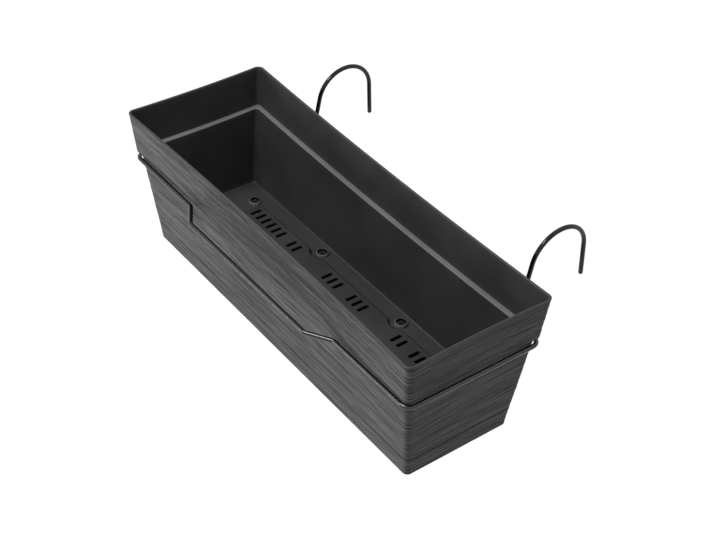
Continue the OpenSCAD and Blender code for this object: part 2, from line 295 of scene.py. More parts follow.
@dataclass(frozen=True)
class WoodGrain:
    """Moulded wood grain that runs level round the walls."""

    seed: int = 11
    depth: float = 0.75 * MM
    waver: float = 1.8 * MM
    waver_size: tuple[float, float, float] = (150 * MM, 150 * MM, 63 * MM)
    band_size: tuple[float, float, float] = (150 * MM, 150 * MM, 7 * MM)
    streak_size: tuple[float, float, float] = (75 * MM, 75 * MM, 2.3 * MM)
    fibre_size: tuple[float, float, float] = (30 * MM, 30 * MM, 1.6 * MM)
    crease_size: tuple[float, float, float] = (120 * MM, 120 * MM, 11.9 * MM)
    streak_offset: float = 1.7
    fibre_offset: float = 3.1
    crease_offset: float = 5.3
    mean_share: float = 0.5
    band_share: float = 0.20
    streak_share: float = 0.30
    fibre_share: float = 0.16
    groove_share: float = 0.55
    groove_width: float = 0.07

    def depth_at(self, points: np.ndarray) -> np.ndarray:
        """Gives how deep the grain is cut at each point.

        Args:
            points: rows of x, y, z in the planter's frame.

        Returns:
            Depths, from 0 to the full depth.
        """
        noise = ValueNoise(self.seed)
        bent = points.copy()
        bent[:, 2] += self.waver * noise.at(points, self.waver_size)
        broad = noise.at(bent, self.band_size)
        streaks = noise.at(bent + self.streak_offset, self.streak_size)
        fibres = noise.at(bent + self.fibre_offset, self.fibre_size)
        crease = noise.at(bent + self.crease_offset, self.crease_size)
        groove = np.exp(-(crease / self.groove_width) ** 2)
        mixed = self.mean_share + self.band_share * broad + self.streak_share * streaks
        mixed += self.fibre_share * fibres + self.groove_share * groove * (0.5 + 0.5 * broad)
        return self.depth * np.clip(mixed, 0, 1)

    def carve(self, rows: np.ndarray) -> np.ndarray:
        """Cuts the grain into an outer outline, towards its inside.

        Args:
            rows: the outline, as x, y, z, counterclockwise; changed in place.

        Returns:
            The carved outline.
        """
        way = np.roll(rows, -1, axis=0) - np.roll(rows, 1, axis=0)
        length = np.hypot(way[:, 0], way[:, 1])
        depth = self.depth_at(rows)
        rows[:, 0] -= way[:, 1] / length * depth
        rows[:, 1] += way[:, 0] / length * depth
        return rows


@dataclass
class Outline:
    """Rounded rectangle with bowed sides, sampled the same way at every size."""

    spacing: float = 2.5 * MM
    corner_steps: int = 10

    def points(self, half: np.ndarray, radius: float, bow: np.ndarray) -> np.ndarray:
        """Samples the outline counterclockwise from above.

        Args:
            half: half length and half width.
            radius: corner radius.
            bow: inward bow of the short and of the long sides.

        Returns:
            Rows of x and y.
        """
        long_steps = round((LAYOUT.rim_length - 2 * LAYOUT.rim_radius) / self.spacing)
        end_steps = round((LAYOUT.rim_width - 2 * LAYOUT.rim_radius) / self.spacing)
        ends = half - radius
        rows = []
        for quarter in range(4):
            middle = quarter_sign(quarter) * ends
            rows.append(middle + quarter_arc(quarter, self.corner_steps) * radius)
            steps = long_steps if quarter in (0, 2) else end_steps
            t = np.linspace(1, -1, steps + 1)[1:-1]
            sag = 1 - t * t
            if quarter in (0, 2):
                side = 1 if quarter == 0 else -1
                rows.append(np.column_stack([side * t * ends[0],
                                             side * (half[1] - bow[1] * sag)]))
            else:
                side = -1 if quarter == 1 else 1
                rows.append(np.column_stack([side * (half[0] - bow[0] * sag),
                                             -side * t * ends[1]]))
        return np.vstack(rows)


def inside(points: np.ndarray, loop: np.ndarray) -> np.ndarray:
    """Tells which points lie inside a closed loop.

    Args:
        points: rows of x and y.
        loop: the loop's corners in order.

    Returns:
        True for each point inside.
    """
    x, y = points[:, 0, None], points[:, 1, None]
    x0, y0 = loop[:, 0], loop[:, 1]
    x1, y1 = np.roll(x0, -1), np.roll(y0, -1)
    spans = (y0 > y) != (y1 > y)
    with np.errstate(divide="ignore", invalid="ignore"):
        crossing = x0 + (y - y0) * (x1 - x0) / (y1 - y0)
    return (np.sum(spans & (x < crossing), axis=1) % 2) == 1


class MeshBuilder:
    """Collects rings of points and the faces between them, in the planter's frame."""

    def __init__(self) -> None:
        """Starts with nothing."""
        self.points: list[np.ndarray] = []
        self.faces: list[tuple[int, ...]] = []
        self.finishes: list[int] = []
        self.finish = 0
        self.count = 0

    def ring(self, plan: np.ndarray, z: float | None = None) -> np.ndarray:
        """Adds a ring of points.

        Args:
            plan: rows of x and y, or of x, y and z where z is left out.
            z: the ring's height.

        Returns:
            The indices of its points.
        """
        rows = plan if z is None else np.column_stack([plan, np.full(len(plan), z)])
        self.points.append(rows)
        indices = np.arange(self.count, self.count + len(rows))
        self.count += len(rows)
        return indices

    def add(self, corners: Iterable[int]) -> None:
        """Adds a face in the finish that is set."""
        self.faces.append(tuple(int(i) for i in corners))
        self.finishes.append(int(self.finish))

    def wall(self, low: np.ndarray, high: np.ndarray) -> None:
        """Joins two rings of the same length with four-sided faces."""
        for a, b, c, d in zip(low, np.roll(low, -1), np.roll(high, -1), high):
            self.add((a, b, c, d))

    def walls(self, rings: Sequence[np.ndarray], closed: bool = False) -> None:
        """Joins each ring to the next.

        Args:
            rings: the rings in order.
            closed: whether the last one is joined to the first.
        """
        for low, high in zip(rings, rings[1:]):
            self.wall(low, high)
        if closed:
            self.wall(rings[-1], rings[0])

    def fan(self, ring: np.ndarray) -> None:
        """Closes a small ring with one many-sided face."""
        self.add(ring)

    def sheet(self, outer: np.ndarray, holes: Sequence[np.ndarray] = ()) -> None:
        """Fills the level area inside a ring and outside the hole rings.

        Args:
            outer: indices of the outer ring.
            holes: indices of each hole's ring.
        """
        rows = np.vstack(self.points)
        loops = [outer, *holes]
        flat: list[Vector] = []
        edges: list[tuple[int, int]] = []
        start = 0
        for loop in loops:
            flat.extend(Vector(rows[i, :2]) for i in loop)
            edges.extend((start + k, start + (k + 1) % len(loop)) for k in range(len(loop)))
            start += len(loop)
        index = np.concatenate(loops)
        spots, _, triangles, origin, *_ = geometry.delaunay_2d_cdt(flat, edges, [], 0,
                                                                   MERGE_DISTANCE)
        corners = np.array([list(v) for v in spots])
        faces = np.array([list(f) for f in triangles])
        middles = corners[faces].mean(axis=1)
        kept = inside(middles, rows[outer, :2])
        for hole in holes:
            kept &= ~inside(middles, rows[hole, :2])
        for face in faces[kept]:
            self.add(index[origin[v][0]] for v in face)

    def build(self, name: str) -> bpy.types.Object:
        """Makes the object, with outward faces and smooth shading.

        Args:
            name: the object's name.

        Returns:
            The object, linked to the scene.
        """
        mesh = bpy.data.meshes.new(name)
        points = LAYOUT.placed(np.vstack(self.points))
        mesh.from_pydata(points.tolist(), [], self.faces)
        mesh.polygons.foreach_set("material_index", self.finishes)
        bm = bmesh.new()
        bm.from_mesh(mesh)
        loose = [v for v in bm.verts if not v.link_faces]
        bmesh.ops.delete(bm, geom=loose, context="VERTS")
        bmesh.ops.recalc_face_normals(bm, faces=bm.faces)
        open_edges = sum(1 for e in bm.edges if len(e.link_faces) != 2)
        if open_edges:
            LOG.warning("%s has %d edges without two faces", name, open_edges)
        bm.to_mesh(mesh)
        bm.free()
        mesh.shade_smooth()
        mesh.set_sharp_from_angle(angle=SHARP_ANGLE)
        piece = bpy.data.objects.new(name, mesh)
        bpy.context.scene.collection.objects.link(piece)
        return piece


@dataclass(frozen=True)
class ShadeDip:
    """Stretch of the body over which the grain is darkened as painted shade, in the shared frame.
    """

    rise: tuple[float, float]
    fall: tuple[float, float]
    lift: tuple[float, float]
    amount: float


class NodeGraph:
    """Shorthand for building a material's nodes."""

    WAVER_SIZE = (130 * MM, 130 * MM, 65 * MM)

    def __init__(self, name: str) -> None:
        """Starts a material with its shader and output.

        Args:
            name: the material's name.
        """
        self.material = bpy.data.materials.new(name)
        self.material.use_nodes = True
        self.tree = self.material.node_tree
        self.shader = self.tree.nodes["Principled BSDF"]

    def node(self, kind: str, **values: object) -> bpy.types.Node:
        """Adds a node.

        Args:
            kind: Blender's name of the node type.
            **values: attributes, or inputs by name with _ for spaces.

        Returns:
            The node.
        """
        made = self.tree.nodes.new(kind)
        for key, value in values.items():
            if hasattr(made, key):
                setattr(made, key, value)
            else:
                made.inputs[key.replace("_", " ")].default_value = value
        return made

    def link(self, source: bpy.types.NodeSocket, target: bpy.types.NodeSocket) -> None:
        """Links two sockets."""
        self.tree.links.new(source, target)

    def level_space(self, waver: float = 0.0) -> bpy.types.NodeSocket:
        """Gives the object's own space, with its levels bent up and down a little.

        Args:
            waver: full height of the bending.

        Returns:
            The space's vector.
        """
        place = self.node("ShaderNodeTexCoord").outputs["Object"]
        if not waver:
            return place
        drift = self.noise(place, self.WAVER_SIZE, detail=2)
        height = self.between(drift, -waver / 2, waver / 2)
        lift = self.node("ShaderNodeCombineXYZ")
        self.link(height, lift.inputs["Z"])
        bent = self.node("ShaderNodeVectorMath", operation="ADD")
        self.link(place, bent.inputs[0])
        self.link(lift.outputs["Vector"], bent.inputs[1])
        return bent.outputs["Vector"]

    def shade_dimmed(self, factor: bpy.types.NodeSocket, shade_dip: ShadeDip) -> bpy.types.NodeSocket:
        """Lowers a factor over a stretch of the object, with soft ends, to paint shade there.

        Args:
            factor: the socket to lower.
            shade_dip: the stretch.

        Returns:
            The lowered factor.
        """
        axes = self.node("ShaderNodeSeparateXYZ")
        self.link(self.level_space(), axes.inputs["Vector"])
        shares = [self.between(axes.outputs["X"], 0, 1, *shade_dip.rise),
                  self.between(axes.outputs["X"], 1, 0, *shade_dip.fall),
                  self.between(axes.outputs["Z"], 0, shade_dip.amount, *shade_dip.lift)]
        for share in shares[1:]:
            product = self.node("ShaderNodeMath", operation="MULTIPLY")
            self.link(shares[0], product.inputs[0])
            self.link(share, product.inputs[1])
            shares[0] = product.outputs["Value"]
        lowered = self.node("ShaderNodeMath", operation="SUBTRACT")
        self.link(factor, lowered.inputs[0])
        self.link(shares[0], lowered.inputs[1])
        return lowered.outputs["Value"]

    def noise(self, space: bpy.types.NodeSocket, lengths: Sequence[float], detail: float = 3.0,
              roughness: float = 0.55) -> bpy.types.NodeSocket:
        """Adds noise over a space.

        Args:
            space: the space's vector.
            lengths: size of the noise along x, y and z.
            detail: layers of finer noise.
            roughness: strength of the finer layers.

        Returns:
            The noise's factor.
        """
        scale = self.node("ShaderNodeMapping")
        scale.inputs["Scale"].default_value = [1 / length for length in lengths]
        noise = self.node("ShaderNodeTexNoise", Scale=1.0, Detail=detail, Roughness=roughness)
        self.link(space, scale.inputs["Vector"])
        self.link(scale.outputs["Vector"], noise.inputs["Vector"])
        return noise.outputs["Fac"]

    def speckle(self, space: bpy.types.NodeSocket, size: float,
                detail: float = 3.0) -> bpy.types.NodeSocket:
        """Adds noise of the same size every way."""
        return self.noise(space, (size, size, size), detail=detail)

    def blend(self, share: float, first: bpy.types.NodeSocket,
              second: bpy.types.NodeSocket) -> bpy.types.NodeSocket:
        """Blends two factors.

        Args:
            share: how much of the second there is.
            first: the first factor.
            second: the second factor.

        Returns:
            The blended factor.
        """
        mix = self.node("ShaderNodeMix")
        mix.inputs["Factor"].default_value = share
        self.link(first, mix.inputs["A"])
        self.link(second, mix.inputs["B"])
        return mix.outputs["Result"]

    def between(self, factor: bpy.types.NodeSocket, low: float, high: float,
                start: float = 0.3, end: float = 0.7) -> bpy.types.NodeSocket:
        """Maps a factor to a range.

        Args:
            factor: the socket to map.
            low: result where the factor is at start or less.
            high: result where the factor is at end or more.
            start: lower end of the factor.
            end: upper end of the factor.

        Returns:
            The mapped socket.
        """
        ranged = self.node("ShaderNodeMapRange")
        for name, value in (("From Min", start), ("From Max", end),
                            ("To Min", low), ("To Max", high)):
            ranged.inputs[name].default_value = value
        self.link(factor, ranged.inputs["Value"])
        return ranged.outputs["Result"]

    def tinted(self, factor: bpy.types.NodeSocket, dark: Sequence[float],
               light: Sequence[float], start: float = 0.32, end: float = 0.68) -> None:
        """Colours the shader between two tones by a factor.

        Args:
            factor: the socket to colour by.
            dark: tone where the factor is at start or less.
            light: tone where the factor is at end or more.
            start: lower end of the factor.
            end: upper end of the factor.
        """
        ramp = self.node("ShaderNodeValToRGB")
        ramp.color_ramp.elements[0].position = start
        ramp.color_ramp.elements[0].color = (*dark, 1)
        ramp.color_ramp.elements[1].position = end
        ramp.color_ramp.elements[1].color = (*light, 1)
        self.link(factor, ramp.inputs["Fac"])
        self.link(ramp.outputs["Color"], self.shader.inputs["Base Color"])

    def roughened(self, factor: bpy.types.NodeSocket, low: float, high: float) -> None:
        """Varies the shader's roughness between two values by a factor."""
        self.link(self.between(factor, low, high), self.shader.inputs["Roughness"])

    def bumped(self, layers: Sequence[tuple[bpy.types.NodeSocket, float]]) -> None:
        """Adds bump to the shader.

        Args:
            layers: pairs of a height factor and its height in metres.
        """
        normal = None
        for factor, height in layers:
            bump = self.node("ShaderNodeBump", Strength=1.0, Distance=height)
            self.link(factor, bump.inputs["Height"])
            if normal is not None:
                self.link(normal, bump.inputs["Normal"])
            normal = bump.outputs["Normal"]
        self.link(normal, self.shader.inputs["Normal"])


@dataclass(frozen=True)
class GrainedPlastic:
    """Matte moulded plastic with the brushed streaks of its level wood grain."""

    name: str
    dark: tuple[float, float, float]
    light: tuple[float, float, float]
    gloss: float = 0.50
    gloss_spread: tuple[float, float] = (-0.06, 0.12)
    shine: float = 0.12
    waver: float = 5 * MM
    streak_size: tuple[float, float, float] = (75 * MM, 75 * MM, 1.4 * MM)
    fibre_size: tuple[float, float, float] = (20 * MM, 20 * MM, 0.8 * MM)
    cloud_size: tuple[float, float, float] = (140 * MM, 140 * MM, 10 * MM)
    pore_size: float = 0.8 * MM
    fibre_share: float = 0.3
    cloud_share: float = 0.15
    fineness: float = 0.6
    tint_span: tuple[float, float] = (0.43, 0.57)
    streak_bump: float = 0.55 * MM
    fibre_bump: float = 0.20 * MM
    pore_bump: float = 0.03 * MM
    shade_dip: ShadeDip | None = None

    def material(self) -> bpy.types.Material:
        """Builds the material.

        Returns:
            The material.
        """
        graph = NodeGraph(self.name)
        space = graph.level_space(self.waver)
        streaks = graph.noise(space, self.streak_size, roughness=self.fineness)
        fibres = graph.noise(space, self.fibre_size, roughness=self.fineness)
        cloud = graph.noise(space, self.cloud_size, detail=2)
        pores = graph.speckle(graph.level_space(), self.pore_size, detail=1)
        lines = graph.blend(self.cloud_share,
                            graph.blend(self.fibre_share, streaks, fibres), cloud)
        # Darkens the tone over its stretch as painted shade.
        if self.shade_dip:
            lines = graph.shade_dimmed(lines, self.shade_dip)
        graph.tinted(lines, self.dark, self.light, *self.tint_span)
        graph.roughened(fibres, *(self.gloss + part for part in self.gloss_spread))
        graph.bumped([(streaks, self.streak_bump), (fibres, self.fibre_bump),
                      (pores, self.pore_bump)])
        graph.shader.inputs["Specular IOR Level"].default_value = self.shine
        return graph.material


@dataclass(frozen=True)
class SatinPlastic:
    """Smooth moulded plastic with a faint satin unevenness; also used for the painted shade and
    painted highlight colours.
    """

    name: str
    dark: tuple[float, float, float]
    light: tuple[float, float, float]
    gloss: float = 0.38
    gloss_spread: tuple[float, float] = (-0.05, 0.07)
    shine: float = 0.5
    cloud_size: float = 55 * MM
    skin_size: float = 1.2 * MM
    ripple: float = 0.012 * MM

    def material(self) -> bpy.types.Material:
        """Builds the material.

        Returns:
            The material.
        """
        graph = NodeGraph(self.name)
        space = graph.level_space()
        cloud = graph.speckle(space, self.cloud_size, detail=4)
        skin = graph.speckle(space, self.skin_size, detail=2)
        graph.tinted(cloud, self.dark, self.light)
        graph.roughened(cloud, *(self.gloss + part for part in self.gloss_spread))
        graph.bumped([(skin, self.ripple)])
        graph.shader.inputs["Specular IOR Level"].default_value = self.shine
        return graph.material


@dataclass(frozen=True)
class PowderCoat:
    """Glossy black powder coat on steel wire, with its fine orange peel."""

    name: str
    dark: tuple[float, float, float] = (0.0020, 0.0020, 0.0022)
    light: tuple[float, float, float] = (0.0035, 0.0035, 0.0038)
    gloss: float = 0.13
    gloss_spread: tuple[float, float] = (-0.03, 0.05)
    shine: float = 0.5
    cloud_size: float = 12 * MM
    peel_size: float = 1.6 * MM
    peel: float = 0.002 * MM

    def material(self) -> bpy.types.Material:
        """Builds the material.

        Returns:
            The material.
        """
        graph = NodeGraph(self.name)
        space = graph.level_space()
        cloud = graph.speckle(space, self.cloud_size)
        peel = graph.speckle(space, self.peel_size, detail=1)
        graph.tinted(cloud, self.dark, self.light)
        graph.roughened(cloud, *(self.gloss + part for part in self.gloss_spread))
        graph.bumped([(peel, self.peel)])
        graph.shader.inputs["Specular IOR Level"].default_value = self.shine
        return graph.material


@dataclass(frozen=True)
class Palette:
    """Every finish of the planter, with painted shade and painted highlight colours among them.
    """

    # The grained colour is darkened as painted shade over the middle of the band.
    grained: GrainedPlastic = GrainedPlastic("grained_anthracite", (0.036, 0.036, 0.038),
                                             (0.198, 0.200, 0.206),
                                             shade_dip=ShadeDip(rise=(-0.11, -0.04), fall=(0.10, 0.24),
                                                     lift=(-0.055, -0.050), amount=0.06))
    tray: GrainedPlastic = GrainedPlastic("grained_anthracite_tray", (0.033, 0.033, 0.035),
                                          (0.180, 0.182, 0.188))
    # Smooth inside finish of the same plastic; its colour is darkened as painted shade for the
    # deep interior.
    inside: SatinPlastic = SatinPlastic("smooth_anthracite_inside_shaded", (0.030, 0.030, 0.031),
                                        (0.040, 0.040, 0.042), gloss=0.48, shine=0.35)
    # Lighter colour for the ledge and the collars' outer walls and rims: a painted highlight.
    edge: SatinPlastic = SatinPlastic("anthracite_painted_highlight_edge", (0.140, 0.140, 0.144),
                                      (0.175, 0.175, 0.180), gloss=0.50, shine=0.3)
    # Near black painted shade, for the seam gap, the collar bores, the drains, the recess under
    # the grid, and the grid's sides and slots.
    shade: SatinPlastic = SatinPlastic("anthracite_painted_shade", (0.007, 0.007, 0.0075),
                                       (0.011, 0.011, 0.0115), gloss=0.5, shine=0.2)
    grid: SatinPlastic = SatinPlastic("smooth_anthracite_grid", (0.026, 0.026, 0.027),
                                      (0.037, 0.037, 0.038), gloss=0.50, shine=0.35)
    # Loop and hooks are copies of one black coat; the hooks' copy reflects less, which darkens
    # them as painted shade.
    wire: PowderCoat = PowderCoat("black_powder_coat", gloss=0.2, shine=0.6)
    hooks: PowderCoat = PowderCoat("black_powder_coat_hooks", shine=0.3)
    weld: PowderCoat = PowderCoat("black_powder_coat_on_weld", gloss=0.32, peel=0.03 * MM)

    def materials(self) -> dict[str, bpy.types.Material]:
        """Builds the material of each finish, by the finish's name."""
        return {entry.name: getattr(self, entry.name).material() for entry in fields(self)}


def dress(piece: bpy.types.Object, materials: Sequence[bpy.types.Material], body: Body,
          slot: Slot, *nodes: str) -> None:
    """Gives a piece its finish, its body and the nodes that it stands for.

    Args:
        piece: the piece.
        materials: its materials, in the order of its finishes.
        body: the body that it rides on.
        slot: the record's material slot; not used.
        *nodes: nodes that it replaces.
    """
    for material in materials:
        piece.data.materials.append(material)
    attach(piece, body.value)
    if nodes:
        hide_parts(*nodes)


@dataclass
class PegPlan:
    """Where the tray's pegs come up through the planter floor."""

    corner_x: float = 195.3 * MM
    corner_y: float = 42.58 * MM
    middle_x: float = 72 * MM
    middle_y: float = 51.08 * MM

    def places(self) -> list[np.ndarray]:
        """Gives the middle of each peg.

        Returns:
            Pairs of x and y.
        """
        return [np.array([sx * x, sy * y])
                for x, y in ((self.corner_x, self.corner_y), (self.middle_x, self.middle_y))
                for sx in (-1, 1) for sy in (-1, 1)]


@dataclass
class PlanterShell:
    """Band, lower body, ledge, floor and collars, in one moulding."""

    grain: WoodGrain = field(default_factory=WoodGrain)
    outline: Outline = field(default_factory=Outline)
    relief: Relief = field(default_factory=Relief)
    pegs: PegPlan = field(default_factory=PegPlan)
    level: float = 0.8 * MM
    spare_share: float = 0.1
    rim_wall: float = 2.5 * MM
    rim_round: float = 0.9 * MM
    rim_steps: int = 3
    foot_round: float = 0.4 * MM
    foot_steps: int = 2
    shoulder_wall: float = 4.9 * MM
    floor_wall: float = 3 * MM
    floor_z: float = 24.8 * MM
    under_z: float = 22.4 * MM
    ledge_z: float = 121 * MM
    ledge_round: float = 0.8 * MM
    ledge_steps: int = 3
    ledge_flare: float = 0.35 * MM
    ledge_lead: float = 1 * MM
    relief_lead: float = 1.2 * MM
    relief_clear: float = 2 * MM
    seam_levels: int = 4
    band_steps: int = 11
    hollow_steps: int = 19
    floor_fillet: float = 1.4 * MM
    fillet_start: float = 22.5
    fillet_steps: int = 3
    floor_edge: float = 0.6 * MM
    spigot_inset: float = 2.6 * MM
    collar_outer: float = 7.2 * MM
    collar_bore: float = 5.3 * MM
    collar_height: float = 3 * MM
    collar_round: float = 0.5 * MM
    collar_foot_mm: tuple[tuple[float, float], ...] = ((1, 0), (0.4, 0), (0.1, 0.3), (0, 0.6))
    collar_knee: float = 0.15 * MM
    collar_bevel: float = 0.2 * MM
    drain_radius: float = 4 * MM
    drain_bevel: float = 0.3 * MM
    drain_steps: int = 32
    drain_columns: tuple[int, ...] = (-2, -1, 0, 1, 2)
    drain_pitch: float = 80 * MM
    drain_row: float = 14 * MM
    recess_depth: float = 0.5 * MM
    recess_slope: float = 0.2 * MM
    recess_margin: float = 1.1 * MM

    def plan(self, half: np.ndarray, radius: float, z: float) -> np.ndarray:
        """Gives an outline at height z, as rows of x, y, z."""
        rows = self.outline.points(half, radius, LAYOUT.bow(z))
        return np.column_stack([rows, np.full(len(rows), z)])

    def relieved(self, rows: np.ndarray, foot: float) -> np.ndarray:
        """Draws a band outline back to the lower body where the relief is.

        Args:
            rows: the outline, as x, y, z.
            foot: height at which the relief starts on this face.

        Returns:
            The outline with the relief.
        """
        z = rows[0, 2]
        depth = LAYOUT.band_half(z)[1] - LAYOUT.body_half(z)[1]
        rows[:, 1] += depth * self.relief.share(rows, foot)
        return rows

    def outer_levels(self) -> list[np.ndarray]:
        """Gives the outer face's outlines, from the floor's underside to the rim.

        Returns:
            The outlines, as rows of x, y, z.
        """
        rows = []
        for z in (self.under_z, LAYOUT.seam):
            half = LAYOUT.body_half(z) - self.spigot_inset
            rows.append(self.plan(half, LAYOUT.radius(z) - self.spigot_inset, z))
        foot = rounding(self.foot_round, 0, 90, self.foot_steps)
        seam, step, rim = LAYOUT.seam, LAYOUT.band_foot, LAYOUT.height - self.rim_round
        rows.extend(self.body_level(seam + rise, inset) for rise, inset in foot)
        rows.extend(self.body_level(z, 0) for z in self.levels(seam, step))
        rows.extend(self.band_level(step + rise, inset) for rise, inset in foot)
        rows.extend(self.band_level(z, 0) for z in self.levels(step, rim))
        return rows

    def levels(self, foot: float, top: float) -> np.ndarray:
        """Gives the heights of the levels between a rounded foot and a top above it."""
        return np.arange(foot + self.foot_round + self.level, top - self.spare_share * self.level,
                         self.level)

    def body_level(self, z: float, inset: float) -> np.ndarray:
        """Gives the lower body's outer outline at height z."""
        half = LAYOUT.body_half(z) - inset
        return self.grain.carve(self.plan(half, LAYOUT.radius(z) - inset, z))

    def band_level(self, z: float, inset: float) -> np.ndarray:
        """Gives the band's outer outline, with its relief and its grain.

        Args:
            z: its height.
            inset: how far it is drawn in.

        Returns:
            The outline, as rows of x, y, z.
        """
        half = LAYOUT.band_half(z) - inset
        rows = self.plan(half, LAYOUT.radius(z) - inset, z)
        return self.grain.carve(self.relieved(rows, LAYOUT.band_foot))

    def rim_levels(self) -> list[np.ndarray]:
        """Gives the outlines over the rounded rim, from outside to inside.

        Returns:
            The outlines, as rows of x, y, z.
        """
        rows = []
        outside = rounding(self.rim_round, 0, 90, self.rim_steps)
        inside_edge = [(self.rim_wall - inset, drop) for inset, drop in reversed(outside)]
        for inset, drop in outside + inside_edge:
            z = LAYOUT.height - drop
            half = LAYOUT.band_half(z) - inset
            rows.append(self.plan(half, LAYOUT.radius(z) - inset, z))
        return rows

    def band_inside_levels(self) -> list[np.ndarray]:
        """Gives the band's inner outlines, from the rim down to the ledge.

        Returns:
            The outlines, as rows of x, y, z.
        """
        rows = []
        top = LAYOUT.height - self.rim_round
        relief_top = self.ledge_z + self.relief.height
        heights = [*np.linspace(top, relief_top + self.relief_clear, self.band_steps + 1)[1:],
                   *np.linspace(relief_top + self.relief_lead, self.ledge_z + self.ledge_lead,
                                self.band_steps + 1),
                   self.ledge_z + self.ledge_flare, self.ledge_z]
        for z in heights:
            inset = self.rim_wall + (self.ledge_flare if z == self.ledge_z else 0.0)
            half = LAYOUT.band_half(z) - inset
            level = self.plan(half, LAYOUT.radius(z) - inset, z)
            rows.append(self.relieved(level, self.ledge_z))
        return rows

    def ledge_levels(self) -> list[np.ndarray]:
        """Gives the outlines over the ledge's rounded edge."""
        return [self.hollow_level(self.ledge_z - drop, -grow)
                for grow, drop in rounding(self.ledge_round, 90, 0, self.ledge_steps)]

    def hollow_levels(self) -> list[np.ndarray]:
        """Gives the lower hollow's outlines, from the ledge down to the floor.

        Returns:
            The outlines, as rows of x, y, z.
        """
        heights = np.linspace(self.ledge_z - self.ledge_round,
                              self.floor_z + self.floor_fillet, self.hollow_steps + 1)
        rows = [self.hollow_level(z, 0) for z in heights[1:]]
        rows.extend(self.hollow_level(self.floor_z + rise, inset)
                    for inset, rise in rounding(self.floor_fillet, self.fillet_start, 90,
                                                self.fillet_steps))
        rows.append(self.hollow_level(self.floor_z, self.floor_fillet + self.floor_edge))
        return rows

    def hollow_level(self, z: float, inset: float) -> np.ndarray:
        """Gives an outline of the lower hollow.

        Args:
            z: its height.
            inset: how far it is drawn in.

        Returns:
            The outline, as rows of x, y, z.
        """
        share = (z - self.floor_z) / (self.ledge_z - self.floor_z)
        wall = self.floor_wall + (self.shoulder_wall - self.floor_wall) * share
        half = LAYOUT.body_half(z) - wall - inset
        radius = LAYOUT.radius(z) - self.floor_wall - inset
        return self.plan(half, radius, z)

    def collar(self, builder: MeshBuilder, place: np.ndarray) -> tuple[np.ndarray, np.ndarray]:
        """Adds one collar with its bore.

        Args:
            builder: the mesh so far.
            place: the collar's middle.

        Returns:
            The rings where it leaves the floor's top and its underside.
        """
        top = self.floor_z + self.collar_height
        foot = [(self.collar_outer + out * MM, self.floor_z + up * MM)
                for out, up in self.collar_foot_mm]
        side = [(self.collar_outer, top - self.collar_round),
                (self.collar_outer - self.collar_knee, top - self.collar_knee),
                (self.collar_outer - self.collar_round, top)]
        bore = [(self.collar_bore + self.collar_bevel, top),
                (self.collar_bore, top - self.collar_bevel), (self.collar_bore, self.under_z)]
        rings = [builder.ring(circle(place, r), z) for r, z in foot + side + bore]
        wall, top_edge = len(foot), len(foot + side)
        # The foot and the top get the smooth inside colour darkened as painted shade, the outer
        # wall and top rounding the lighter edge colour as a painted highlight, and the bore
        # painted shade.
        builder.finish = ShellFinish.INSIDE
        builder.walls(rings[:wall])
        builder.walls(rings[top_edge - 1:top_edge + 1])
        builder.finish = ShellFinish.EDGE
        builder.walls(rings[wall - 1:top_edge])
        builder.finish = ShellFinish.PAINTED_SHADE
        builder.walls(rings[top_edge:])
        return rings[0], rings[-1]

    def drain(self, builder: MeshBuilder, place: np.ndarray) -> tuple[np.ndarray, np.ndarray]:
        """Adds one drain hole.

        Args:
            builder: the mesh so far.
            place: the hole's middle.

        Returns:
            Its top and bottom rings.
        """
        bevel, top = self.drain_bevel, self.floor_z - self.recess_depth
        profile = [(self.drain_radius + bevel, top), (self.drain_radius, top - bevel),
                   (self.drain_radius, self.under_z)]
        rings = [builder.ring(circle(place, r, self.drain_steps), z) for r, z in profile]
        builder.walls(rings)
        return rings[0], rings[-1]

    def floor(self, builder: MeshBuilder, edge: np.ndarray, foot: np.ndarray,
              recess: Callable[[float], np.ndarray]) -> None:
        """Adds the floor with its collars, its drains and the recess under the grid.

        Args:
            builder: the mesh so far.
            edge: the ring round the floor's top.
            foot: the ring round its underside.
            recess: gives the grid's outline, drawn in by a length.
        """
        collars = [self.collar(builder, place) for place in self.pegs.places()]
        # The drains, the recess's wall and its bed keep the painted shade that the collars left
        # set.
        drains = [self.drain(builder, np.array([i * self.drain_pitch, s * self.drain_row]))
                  for i in self.drain_columns for s in (-1, 1)]
        brim = builder.ring(recess(-self.recess_margin), self.floor_z)
        bed = builder.ring(recess(self.recess_slope - self.recess_margin),
                           self.floor_z - self.recess_depth)
        builder.walls([brim, bed])
        builder.sheet(bed, [top for top, _ in drains])
        # The rest of the floor's top and its underside get the smooth inside colour, darkened as
        # painted shade.
        builder.finish = ShellFinish.INSIDE
        builder.sheet(edge, [brim, *(top for top, _ in collars)])
        builder.sheet(foot, [bottom for _, bottom in collars + drains])

    def build(self, finishes: Sequence[bpy.types.Material],
              recess: Callable[[float], np.ndarray]) -> bpy.types.Object:
        """Builds and dresses the shell.

        Args:
            finishes: its grained material, its smooth inside one darkened as painted shade, its
                edge one lightened as a painted highlight, and its painted shade.
            recess: gives the grid's outline, drawn in by a length.

        Returns:
            The shell.
        """
        builder = MeshBuilder()
        outer = [builder.ring(rows) for rows in self.outer_levels()]
        rim = [builder.ring(rows) for rows in self.rim_levels()]
        band = [builder.ring(rows) for rows in self.band_inside_levels()]
        ledge = [builder.ring(rows) for rows in self.ledge_levels()]
        hollow = [builder.ring(rows) for rows in self.hollow_levels()]
        # The spigot walls in the seam gap above the tray get painted shade.
        builder.finish = ShellFinish.PAINTED_SHADE
        builder.walls(outer[:self.seam_levels])
        builder.finish = ShellFinish.GRAINED
        builder.walls(outer[self.seam_levels - 1:])
        # The ledge and its rounded edge get the lighter edge colour, a painted highlight.
        builder.finish = ShellFinish.EDGE
        builder.walls([band[-1], *ledge])
